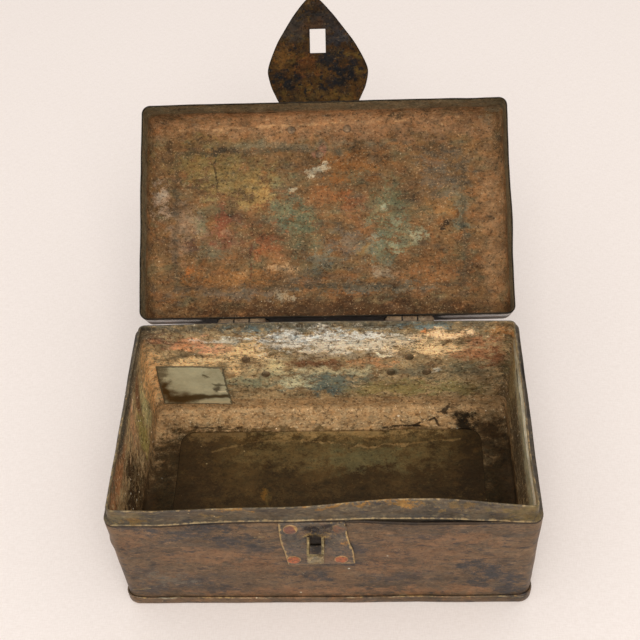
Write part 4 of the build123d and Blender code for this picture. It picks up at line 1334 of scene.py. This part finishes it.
@dataclass
class Box:
    """The box body: wall, floor pan, collar, staple and patch."""

    half_x: float = 100 * MM
    half_y: float = 60 * MM
    corner: float = 5 * MM
    ledge: float = 74 * MM
    wall: float = 1.2 * MM
    wall_top: float = 73.4 * MM
    pan: float = 1.0 * MM
    pan_top: float = 6.0 * MM
    flange: float = 16 * MM
    flange_corner: float = 8 * MM
    collar: float = 1.0 * MM
    collar_foot: float = 63 * MM
    collar_rise_front: float = 9.5 * MM
    collar_rise_rear: float = 3.4 * MM
    hinge_room: float = 0.35 * MM
    staple_x: float = HASP_X * MM
    strap_rivets: Pairs = ((0, 26), (-9.8, 39), (9.8, 39))
    plate_half_width: float = 16.3 * MM
    plate_left: Pairs = (
        (-0.2, 73.2), (-0.1, 67), (0.3, 58), (1.2, 51), (1.6, 44), (2.2, 38.3),
    )
    plate_right: Pairs = (
        (1.4, 38.6), (1.1, 44), (0.7, 51), (-0.6, 57), (-1.6, 64), (-2.6, 73.2),
    )
    patch_knots: Pairs = (
        (-94.4, 9.8), (-94.7, 27), (-94.5, 43.3), (-78, 43.0),
        (-57.6, 41.8), (-56.9, 26), (-55.6, 8.4), (-74, 9.2),
    )
    beating: Beating = field(
        default_factory=lambda: Beating(
            swells=(
                Swell((-101, 5, 42), (10, 60, 30), (-1.2, 0, 0)),
                Swell((-101, -52, 55), (7, 12, 7), (-0.9, -0.2, 0)),
                Swell((101, 10, 40), (10, 60, 34), (-0.6, 0, 0)),
                Swell((20, -61, 36), (60, 10, 30), (0, 0.5, 0)),
                Swell((44, 44, 2), (16, 7, 6), (0, 0, 0.9)),
                Swell((-44, -60, 80), (36, 12, 26), (0, 1.6, 0)),
                Swell((0, -60, 80), (50, 12, 26), (0, 2.2, 0)),
            )
        )
    )
    collar_swells: tuple[Swell, ...] = (
        Swell((46, -58, 76), (50, 16, 40), (0, 2.5, 0)),
        Swell((44, -58, 90), (64, 16, 15), (0, 3.2, 0)),
        Swell((98, -30, 82), (14, 50, 16), (-1.2, 0, 0)),
    )
    rim_swells: tuple[Swell, ...] = (
        Swell((-40, -57, 86), (90, 20, 10), (0, 0, -2.8)),
        Swell((98, 56, 80), (14, 44, 12), (0.2, 0, 0)),
        Swell((-20, 58, 78), (120, 14, 14), (0, -0.4, 2.3)),
    )

    def ring(self, inset: float, z: float, corner: Optional[float] = None) -> Ring:
        """Return the box's outline, drawn in by an inset, at a height."""
        round_by = max(self.corner - inset, 0.8 * MM) if corner is None else corner
        return Ring(self.half_x - inset, self.half_y - inset, round_by, z)

    def build(self) -> None:
        """Build and dress every piece of the body."""
        self.build_wall()
        self.build_pan()
        self.build_collar()
        self.build_staple_plate()
        self.build_patch()
        self.build_rivets()

    def build_wall(self) -> None:
        """Build the bent wall with its inward flange."""
        lip, bend = 0.35 * MM, 2.0 * MM
        under, over = self.pan, self.pan + self.wall
        courses = [
            Course(self.ring(0.05 * MM, self.pan_top - 3 * MM), 26),
            Course(self.ring(0, self.wall_top - lip)),
            Course(self.ring(lip, self.wall_top)),
            Course(self.ring(self.wall - lip, self.wall_top)),
            Course(self.ring(self.wall, self.wall_top - lip), 26, 1),
            Course(self.ring(self.wall, over + bend), 1, 1),
            Course(self.ring(self.wall + 0.3 * bend, over + 0.3 * bend), 1, 1),
            Course(self.ring(self.wall + bend, over), 5, 1),
            Course(self.ring(self.flange, over, self.flange_corner), 1, 1),
            Course(self.ring(self.flange, under + 0.1 * MM, self.flange_corner), 3, 1),
            Course(self.ring(bend, under + 0.1 * MM), 1, 1),
        ]
        mesh = SheetMesh()
        mesh.loft(courses, closed=True)
        wall = mesh.piece("beaten_wall", (OUTSIDE, INSIDE), self.beating.moved, self.wall_wear)
        place(wall, "box", "wall_brass", "body_wall")

    def wall_wear(self, point: Vector) -> float:
        """Return the wall's wear: its rim, and a little down its corners."""
        rim = near(point.z, self.wall_top, 0.8 * MM)
        upright = near(abs(point.x), self.half_x, 3 * MM) * near(abs(point.y), self.half_y, 3 * MM)
        return max(0.4 * rim, 0.36 * upright)

    def build_pan(self) -> None:
        """Build the floor pan with its turned-up flange."""
        t, lip = self.pan, 0.35 * MM
        out = -(t + 0.05 * MM)
        inner = self.half_y - 4 * MM
        courses = [
            Course(self.ring(inner, 0, 1 * MM), 16),
            Course(self.ring(out + 1.4 * MM, 0)),
            Course(self.ring(out + 0.4 * MM, 0.35 * MM)),
            Course(self.ring(out, 1.4 * MM), 2),
            Course(self.ring(out, self.pan_top - lip)),
            Course(self.ring(out + lip, self.pan_top)),
            Course(self.ring(-0.35 * MM, self.pan_top)),
            Course(self.ring(-0.05 * MM, self.pan_top - lip), 2),
            Course(self.ring(-0.05 * MM, t + 0.6 * MM), 1, 1),
            Course(self.ring(0.6 * MM, t), 18, 1),
            Course(self.ring(inner, t, 1 * MM), 1, 1),
        ]
        mesh = SheetMesh()
        mesh.loft(courses, closed=False, shape=self.pan_shape)
        pan = mesh.piece("floor_pan", (OUTSIDE, FLOOR_DIRT), self.beating.moved, self.pan_wear)
        place(pan, "box", "pan_brass", "bottom_pan")

    def pan_shape(self, point: Vector) -> Vector:
        """Return a pan's point, its flange uneven and standing up at the corners."""
        if point.z < self.pan_top - 1 * MM:
            return point
        ear = near(abs(point.x), self.half_x, 9 * MM) * near(abs(point.y), self.half_y, 9 * MM)
        uneven = noise.noise(Vector((point.x, point.y, 0)) * 60)
        return point + Vector((0, 0, ear * 2.2 * MM + uneven * 0.5 * MM))

    def pan_wear(self, point: Vector) -> float:
        """Return the pan's wear: the flange's edge and the corners it stands on."""
        return max(0.62 * near(point.z, self.pan_top + 0.2 * MM, 1.0 * MM), 0.3 * near(point.z, 0, 1 * MM))

    def build_collar(self) -> None:
        """Build the collar, whose flared lip lies on the wall's edge."""
        t, lip = self.collar, 0.3 * MM
        inset = self.wall + 0.05 * MM
        foot, top = self.collar_foot, self.ledge
        rim = top + self.collar_rise_front
        courses = [
            Course(self.ring(inset, foot), 5),
            Course(self.ring(inset, top - 0.55 * MM)),
            Course(self.ring(0.1 * MM, top - 0.4 * MM)),
            Course(self.ring(0.0, top - 0.2 * MM)),
            Course(self.ring(0.2 * MM, top - 0.05 * MM)),
            Course(self.ring(1.4 * MM, top)),
            Course(self.ring(1.75 * MM, top + 0.6 * MM), 5),
            Course(self.ring(2.2 * MM, rim - lip)),
            Course(self.ring(2.2 * MM + lip, rim), 1),
            Course(self.ring(2.2 * MM + t - lip, rim), 1, 1),
            Course(self.ring(2.2 * MM + t, rim - lip), 5, 1),
            Course(self.ring(inset + t, top - 1 * MM), 5, 1),
            Course(self.ring(inset + t, foot), 1, 1),
        ]
        mesh = SheetMesh()
        mesh.loft(courses, closed=True, shape=self.collar_shape)
        collar = mesh.piece("collar_band", (COLLAR_OUTSIDE, INSIDE), self.collar_moved, self.collar_wear)
        place(collar, "box", "collar_brass", "collar")

    def collar_rise(self, point: Vector) -> float:
        """Return how high the collar's rim stands over the ledge at a point."""
        share = (point.y + self.half_y) / (2 * self.half_y)
        return self.collar_rise_front + (self.collar_rise_rear - self.collar_rise_front) * share

    def collar_shape(self, point: Vector) -> Vector:
        """Return a collar's point, its rim falling to the rear, and its lip clear of the hinges."""
        point = Vector((point.x, min(point.y, self.half_y - self.hinge_room), point.z))
        over = point.z - self.ledge - 0.3 * MM
        if over <= 0:
            return point
        full = self.collar_rise_front - 0.3 * MM
        risen = over / full * (self.collar_rise(point) - 0.3 * MM)
        return Vector((point.x, point.y, self.ledge + 0.3 * MM + risen))

    def collar_moved(self, point: Vector) -> Vector:
        """Return where use has left a collar's point."""
        moved = self.beating.moved(point)
        over_foot = smooth((point.z - self.collar_foot) / (12 * MM))
        for swell in self.collar_swells:
            moved += swell.moved(point) * over_foot
        over_ledge = smooth((point.z - self.ledge - 0.3 * MM) / (2.5 * MM))
        for swell in self.rim_swells:
            moved += swell.moved(point) * over_ledge
        return moved

    def collar_wear(self, point: Vector) -> float:
        """Return the collar's wear: its rim and its lip."""
        rim = near(point.z, self.ledge + self.collar_rise(point), 1.2 * MM)
        front = 0.5 if point.y < 0 else 0.36
        lip = near(point.z, self.ledge - 0.1 * MM, 0.5 * MM) * near(point.y, -self.half_y, 2.0 * MM)
        return max(front * rim, 0.8 * lip)

    def build_staple_plate(self) -> None:
        """Build the riveted plate on the front, and dress the staple."""
        outline = []
        for side, knots in ((-1, self.plate_left), (1, self.plate_right)):
            edge_x = self.staple_x + side * self.plate_half_width
            outline += smooth_line([(edge_x + x * MM, z * MM) for x, z in knots], 6)
        slot_x, slot_low, slot_high = 3.95 * MM, 55.85 * MM, 62.45 * MM
        hole = [
            Vector((self.staple_x + side * slot_x, z))
            for side, z in ((-1, slot_low), (1, slot_low), (1, slot_high), (-1, slot_high))
        ]
        mesh = SheetMesh()
        mesh.plate(outline, [hole], lambda p: (0.0, 0.8 * MM), 1.6 * MM)
        edge = [Vector(p[:2]) for p in outline]
        mesh.points = [Vector((p.x, -self.half_y - p.z, p.y)) for p in mesh.points]
        plate = mesh.piece(
            "staple_plate_beaten", (STAPLE_PLATE,), self.beating.moved,
            lambda p: self.plate_wear(Vector((p.x, p.z)), edge), bevel=0.2 * MM,
        )
        place(plate, "box", "wall_brass", "staple_plate")
        dress("staple_loop", STAPLE_BRASS)

    def plate_wear(self, point: Vector, edge: Sequence[Vector]) -> float:
        """Return the staple plate's wear: most on its two upright edges."""
        level = near(point.y, 38 * MM, 1.2 * MM) + near(point.y, 73.2 * MM, 1.2 * MM)
        return (0.85 - 0.5 * min(level, 1.0)) * near(edge_distance(point, edge), 0, 1.5 * MM)

    def build_patch(self) -> None:
        """Build the thin patch inside on the rear wall."""
        corners = [Vector((x * MM, z * MM)) for x, z in self.patch_knots]
        sides = zip(corners, corners[1:] + corners[:1])
        outline = [start.lerp(end, step / 6) for start, end in sides for step in range(6)]
        mesh = SheetMesh()
        mesh.plate(outline, [], lambda p: (0.0, 0.55 * MM), 2.2 * MM)
        edge = [Vector(p[:2]) for p in outline]
        back = self.half_y - self.wall - 0.05 * MM
        mesh.points = [Vector((p.x, back - p.z, p.y)) for p in mesh.points]
        patch = mesh.piece(
            "inside_patch_sheet", (TINNED_SHEET,), self.beating.moved,
            lambda p: near(edge_distance(Vector((p.x, p.z)), edge), 0, 1.2 * MM), bevel=0.15 * MM,
        )
        place(patch, "box", "patch_tin", "inside_patch")

    def build_rivets(self) -> None:
        """Build the rivet heads of the staple plate and of the hinges' body straps."""
        heads = Rivets()
        mesh = SheetMesh()
        outer = -self.half_y - 0.75 * MM
        centres = [Vector(spot) * MM for spot in STAPLE_RIVETS]
        for x, z in centres:
            inner = self.wall - self.half_y + (self.collar if z > self.collar_foot else 0)
            heads.add(mesh, Vector((x, outer, z)), Vector((0, -1, 0)), heads.WASHER)
            heads.add(mesh, Vector((x, inner, z)), Vector((0, 1, 0)), heads.TAIL)

        def edge_wear(point: Vector) -> float:
            """Return a head's wear, which is round its edge."""
            away = min((Vector((point.x, point.z)) - centre).length for centre in centres)
            return near(away, 3.3 * MM, 0.7 * MM)

        rivets = mesh.piece("staple_rivet_heads", (COPPER,), self.beating.moved, edge_wear)
        place(rivets, "box", "copper_rivet", "staple_rivets")
        for name, centre in HINGES.items():
            mesh = SheetMesh()
            for across, drop in self.strap_rivets:
                seat = Vector((centre * MM + across * MM, 0, self.ledge - drop * MM))
                behind = seat + Vector((0, self.half_y + 1.0 * MM, 0))
                within = seat + Vector((0, self.half_y - self.wall, 0))
                heads.add(mesh, behind, Vector((0, 1, 0)), heads.HEAD)
                heads.add(mesh, within, Vector((0, -1, 0)), heads.SPREAD)
            rivets = mesh.piece(f"{name}_strap_rivet_heads", (RIVET_BRASS,), self.beating.moved)
            place(rivets, "box", "brass_rivet", f"{name}_hinge_body_rivets")


@dataclass
class Lid:
    """The lid's tray with its raised panel, and what is riveted on it."""

    half_x: float = 99.4 * MM
    half_y: float = 59.4 * MM
    corner: float = 4.4 * MM
    rim: float = 74.3 * MM
    top: float = 97.3 * MM
    thick: float = 0.8 * MM
    shoulder: float = 5.0 * MM
    inner_shoulder: float = 8.0 * MM
    panel_half_x: float = 82 * MM
    panel_half_y: float = 40.5 * MM
    panel_x: float = -4 * MM
    panel_rise: float = 2.6 * MM
    panel_slope: float = 8 * MM
    panel_corner: float = 9 * MM
    open_angle: float = math.radians(147)
    hinge_y: float = 62.4 * MM
    hinge_z: float = 73.2 * MM
    leaf_rivets: tuple[Point, ...] = ((-19.0, -50.9, 0.0), (12.2, -50.9, 0.0), (HASP_X, -36.9, 1.2))
    strap_rivets: tuple[float, float] = (-7.5, 7.5)
    beating: Beating = field(
        default_factory=lambda: Beating(
            amount=0.4 * MM,
            swells=(
                Swell((100, 10, 76), (8, 20, 10), (0.6, 0, 0)),
                Swell((-100, -20, 80), (10, 40, 16), (-0.5, 0, 0)),
                Swell((20, 0, 99), (60, 30, 8), (0, 0, -0.7)),
            ),
        )
    )

    SHOULDER_STEPS = 5
    SLOPE_STEPS = 8

    @property
    def swing(self) -> Matrix:
        """Return the turn that opens the lid."""
        axis = Vector((0, self.hinge_y, self.hinge_z))
        turn = Matrix.Rotation(-self.open_angle, 4, "X")
        return Matrix.Translation(axis) @ turn @ Matrix.Translation(-axis)

    def opened(self, point: Vector) -> Vector:
        """Return where a drawn point rests on the open lid."""
        return self.swing @ self.beating.moved(point)

    def build(self) -> None:
        """Build and dress every piece of the lid."""
        self.build_shell()
        self.build_rivets()
        dress("hasp_leaf", HASP_LEAF_BRONZE)
        dress("hasp_pin", HINGE_PATINA)

    def courses(self, inset: float, skin: int) -> list[Course]:
        """Return the outlines of one side of the shell, from near the rim to the middle.

        Args:
            inset: how far this side lies in from the outside.
            skin: the number of its finish.

        Returns:
            The courses.
        """
        half_x, half_y, top = self.half_x - inset, self.half_y - inset, self.top - inset
        bend = self.inner_shoulder if inset else self.shoulder
        made = [Course(Ring(half_x, half_y, self.corner - inset, self.rim + 0.35 * MM), 8, skin)]
        for step in range(self.SHOULDER_STEPS + 1):
            turn = math.pi / 2 * step / self.SHOULDER_STEPS
            drawn_in = bend * (1 - math.cos(turn))
            level = top - bend + bend * math.sin(turn)
            corner = max(self.corner - inset - drawn_in, 0.6 * MM)
            shoulder = Ring(half_x - drawn_in, half_y - drawn_in, corner, level)
            made.append(Course(shoulder, 1 if step < self.SHOULDER_STEPS else 6, skin))
        for step in range(self.SLOPE_STEPS + 1):
            share = step / self.SLOPE_STEPS
            slope = self.panel_slope * share
            panel = Ring(
                self.panel_half_x - slope, self.panel_half_y - slope, self.panel_corner - 0.6 * slope,
                top + self.panel_rise * smooth(share), self.panel_x,
            )
            made.append(Course(panel, 1 if step < self.SLOPE_STEPS else 12, skin))
        core = self.panel_half_y - self.panel_slope - 1.5 * MM
        half_length = self.panel_half_x - self.panel_slope - core
        crown = Ring(half_length, 1.5 * MM, 0.7 * MM, top + self.panel_rise, self.panel_x)
        made.append(Course(crown, 1, skin))
        return made

    def build_shell(self) -> None:
        """Build the beaten tray."""
        outer = self.courses(0, 0)
        inner = self.courses(self.thick, 1)
        lip = 0.3 * MM
        rim = [
            Course(Ring(self.half_x - inset, self.half_y - inset, corner, self.rim), 1, skin)
            for inset, corner, skin in ((self.thick - lip / 2, 3.7 * MM, 1), (lip / 2, 4.3 * MM, 0))
        ]
        inward = [Course(c.ring, following.cells, 1) for c, following in zip(inner[::-1], inner[-2::-1])]
        mesh = SheetMesh()
        mesh.loft([*inward, Course(inner[0].ring, 1, 1), *rim, *outer], closed=False)
        shell = mesh.piece("lid_tray", (LID_OUTSIDE, LID_INSIDE), self.opened, self.shell_wear)
        place(shell, "lid", "lid_brass", "lid_shell")

    def shell_wear(self, point: Vector) -> float:
        """Return the lid's wear: its rim, its shoulders and the panel's edge."""
        rim = near(point.z, self.rim, 1.2 * MM)
        out = near(abs(point.x), self.half_x, 3 * MM) + near(abs(point.y), self.half_y, 3 * MM)
        return max(0.6 * rim, 0.4 * min(out, 1.0) * near(point.z, self.top, 3 * MM))

    def build_rivets(self) -> None:
        """Build the rivet heads of the hasp's leaf and of the hinges' lid straps."""
        heads = Rivets()
        mesh = SheetMesh()
        up = Vector((0, 0, 1))
        for x, y, lift in self.leaf_rivets:
            seat = Vector((x * MM, y * MM, self.top + lift * MM))
            heads.add(mesh, seat + up * 1.0 * MM, up, heads.HEAD)
            heads.add(mesh, seat - up * 0.75 * MM, -up, heads.TAIL)
        rivets = mesh.piece("hasp_leaf_rivet_heads", (RIVET_BRASS,), self.opened)
        place(rivets, "lid", "brass_rivet", "hasp_leaf_rivets")
        for name, centre in HINGES.items():
            mesh = SheetMesh()
            for across in self.strap_rivets:
                seat = Vector((centre * MM + across * MM, self.half_y, self.rim + 11 * MM))
                out = Vector((0, 1, 0))
                heads.add(mesh, seat + out * 1.0 * MM, out, heads.HEAD)
                heads.add(mesh, seat - out * self.thick, -out, heads.TAIL)
            rivets = mesh.piece(f"{name}_lid_rivet_heads", (RIVET_BRASS,), self.opened)
            place(rivets, "lid", "brass_rivet", f"{name}_hinge_lid_rivets")


@dataclass
class Hasp:
    """The swinging heart shaped plate with its slot."""

    lid: Lid
    x: float = HASP_X * MM
    axis_y: float = -62.3 * MM
    axis_z: float = 95.9 * MM
    thick: float = 1.0 * MM
    radius: float = 2.4 * MM
    tilt: float = math.radians(12)
    knuckle: float = 15 * MM
    slot: tuple[float, float] = (8.8 * MM, 13.4 * MM)
    slot_at: float = 38.6 * MM
    lean: float = -2.4 * MM
    half_widths: Pairs = (
        (2.9, 21.6), (6.0, 23.4), (9.0, 24.8), (13.0, 26.6), (18.0, 27.9), (22.0, 28.3),
        (26.5, 27.1), (33.0, 24.2), (38.5, 21.3), (44.0, 17.6), (48.0, 14.8), (52.5, 11.6),
        (56.3, 8.5), (59.2, 6.0), (61.6, 3.6), (63.1, 1.2),
    )

    @property
    def swing(self) -> Matrix:
        """Return the turn from the level hasp on the shut lid to where it stands."""
        axis = Vector((0, self.axis_y, self.axis_z))
        turn = Matrix.Rotation(self.tilt, 4, "X")
        return self.lid.swing @ Matrix.Translation(axis) @ turn @ Matrix.Translation(-axis)

    def build(self) -> None:
        """Build the plate with its middle knuckle."""
        right = smooth_line([(w * MM, s * MM) for s, w in self.half_widths], 5)
        edge = [Vector((p.x, p.y)) for p in right] + [Vector((-p.x, p.y)) for p in reversed(right)]
        outline = [self.flat(p) for p in edge]
        half_w, half_l = self.slot[0] / 2, self.slot[1] / 2
        hole = [
            Vector((self.x + i * half_w, self.axis_y - self.slot_at + j * half_l))
            for i, j in ((-1, -1), (1, -1), (1, 1), (-1, 1))
        ]
        top = self.axis_z + self.radius
        mesh = SheetMesh()
        mesh.plate(outline, [hole], lambda p: (top - self.thick, top), 1.8 * MM)
        Barrel(self.axis_y, self.axis_z).add(mesh, self.x - self.knuckle / 2, self.x + self.knuckle / 2)
        root = [
            Vector((self.x + i * self.knuckle / 2, self.axis_y - reach, level))
            for i in (-1, 1) for reach in (0, 3.2 * MM) for level in (top - self.thick, top)
        ]
        corners = mesh.loop(root)
        for quad in ((0, 1, 3, 2), (4, 6, 7, 5), (0, 4, 5, 1), (2, 3, 7, 6), (0, 2, 6, 4), (1, 5, 7, 3)):
            mesh.face([corners[i] for i in quad])
        loops = (outline, hole)
        plate = mesh.piece(
            "hasp_plate_beaten", (HASP_BRONZE,), self.swung,
            lambda p: 0.9 * near(min(edge_distance(Vector((p.x, p.y)), row) for row in loops), 0, 0.9 * MM),
            bevel=0.18 * MM,
        )
        place(plate, "hasp", "hasp_brass", "hasp_plate")

    def flat(self, point: Vector) -> Vector:
        """Return an edge point on the level plate, leaning a little towards its tip."""
        leant = self.lean * smooth((point.y - 12 * MM) / (52 * MM))
        return Vector((self.x + point.x + leant, self.axis_y - point.y))

    def swung(self, point: Vector) -> Vector:
        """Return where a level point of the plate rests, the plate slightly dished."""
        reach = (self.axis_y - point.y) / (65 * MM)
        dish = 0.35 * MM * noise.noise(Vector((point.x, point.y, 0)) * 45) * smooth(reach * 4 - 0.6)
        return self.swing @ (point + Vector((0, 0, dish)))


def place(piece: bpy.types.Object, body: str, slot: str, node: str) -> None:
    """Let a piece ride on its body in place of a node."""
    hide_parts(node)
    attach(piece, body)


def dress(node: str, finish: Finish) -> None:
    """Give a carried-over node a finish."""
    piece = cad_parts[node]
    piece.data.materials.clear()
    piece.data.materials.append(finish.material())


@dataclass
class Studio:
    """The floor, the light and the camera."""

    floor_tone: Tone = (243, 232, 225)
    eye: Point = (22.41, -316.87, 501.25)
    aim: Point = (1.295, 0.0, 145.075)
    roll: float = math.radians(-3.805)
    focal: float = 1087.786
    width: int = 640
    key_at: Point = (0.15, -1.25, 1.75)
    key_power: float = 25.0
    key_size: float = 1.5
    sky: float = 0.77

    def build(self) -> None:
        """Set up everything round the object."""
        self.build_floor()
        self.build_light()
        self.build_camera()
        bpy.context.scene.view_settings.view_transform = "Standard"

    def build_floor(self) -> None:
        """Lay the pale cloth that the box stands on."""
        mesh = bpy.data.meshes.new("floor")
        reach = 3.0
        corners = [(x * reach, y * reach, 0) for x, y in ((-1, -1), (1, -1), (1, 1), (-1, 1))]
        mesh.from_pydata(corners, [], [(0, 1, 2, 3)])
        floor = bpy.data.objects.new("floor", mesh)
        bpy.context.scene.collection.objects.link(floor)
        sheet = NodeSheet("floor_cloth", Placing.OBJECT)
        warp = sheet.noise(0.5, (6.0, 1.0, 1.0), detail=2.0, seed=2.0)
        weft = sheet.noise(0.5, (1.0, 6.0, 1.0), detail=2.0)
        weave = warp * 0.5 + weft * 0.5
        tone = sheet.mix(weave.step(0.3, 0.7), linear((234, 222, 214)), linear(self.floor_tone))
        bump = sheet.node("ShaderNodeBump", {}, {"Strength": 0.25, "Distance": MM, "Height": weave * 0.3})
        skin = sheet.node(
            "ShaderNodeBsdfPrincipled", {}, {"Base Color": tone, "Roughness": 0.95, "Normal": bump.outputs[0]}
        )
        sheet.node("ShaderNodeOutputMaterial", {}, {"Surface": skin.outputs[0]})
        mesh.materials.append(sheet.material)

    def build_light(self) -> None:
        """Set a soft sky and one large lamp."""
        world = bpy.data.worlds.new("studio")
        bpy.context.scene.world = world
        world.use_nodes = True
        nodes, links = world.node_tree.nodes, world.node_tree.links
        nodes.clear()
        path = nodes.new("ShaderNodeLightPath")
        seen = nodes.new("ShaderNodeMath")
        seen.operation = "MAXIMUM"
        links.new(path.outputs["Is Camera Ray"], seen.inputs[0])
        links.new(path.outputs["Is Transmission Ray"], seen.inputs[1])
        sky, backdrop = nodes.new("ShaderNodeBackground"), nodes.new("ShaderNodeBackground")
        sky.inputs["Color"].default_value = (1.0, 0.995, 0.99, 1.0)
        sky.inputs["Strength"].default_value = self.sky
        backdrop.inputs["Color"].default_value = linear(self.floor_tone)
        mixed, out = nodes.new("ShaderNodeMixShader"), nodes.new("ShaderNodeOutputWorld")
        links.new(seen.outputs[0], mixed.inputs[0])
        links.new(sky.outputs[0], mixed.inputs[1])
        links.new(backdrop.outputs[0], mixed.inputs[2])
        links.new(mixed.outputs[0], out.inputs[0])
        lamp = bpy.data.lights.new("key", "AREA")
        lamp.energy, lamp.size = self.key_power, self.key_size
        lamp.color = (1.0, 0.99, 0.97)
        key = bpy.data.objects.new("key", lamp)
        bpy.context.scene.collection.objects.link(key)
        key.location = self.key_at
        key.rotation_euler = (Vector((0, 0, 0.08)) - key.location).to_track_quat("-Z", "Y").to_euler()

    def build_camera(self) -> None:
        """Set the camera at the photograph's viewing angle."""
        camera = bpy.data.cameras.new("camera")
        camera.sensor_width = 36.0
        camera.lens = 36.0 * self.focal / self.width
        camera.clip_start = 0.01
        held = bpy.data.objects.new("camera", camera)
        bpy.context.scene.collection.objects.link(held)
        eye, aim = Vector(self.eye) * MM, Vector(self.aim) * MM
        ahead = (aim - eye).normalized()
        right = ahead.cross(Vector((0, 0, 1))).normalized()
        up = right.cross(ahead)
        across = math.cos(self.roll) * right + math.sin(self.roll) * up
        upward = math.cos(self.roll) * up - math.sin(self.roll) * right
        held.matrix_world = Matrix.Translation(eye) @ Matrix((across, upward, -ahead)).transposed().to_4x4()
        bpy.context.scene.camera = held


def main() -> None:
    """Build the classes in order."""
    logging.basicConfig(level=logging.INFO, format="%(name)s: %(message)s")
    noise.seed_set(BEATING_SEED)
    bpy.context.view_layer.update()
    Box().build()
    lid = Lid()
    lid.build()
    Hasp(lid).build()
    for side in ("left", "right"):
        for part in ("body_leaf", "lid_leaf", "pin"):
            dress(f"{side}_hinge_{part}", HINGE_PATINA)
    Studio().build()


if __name__ == "__main__":
    main()
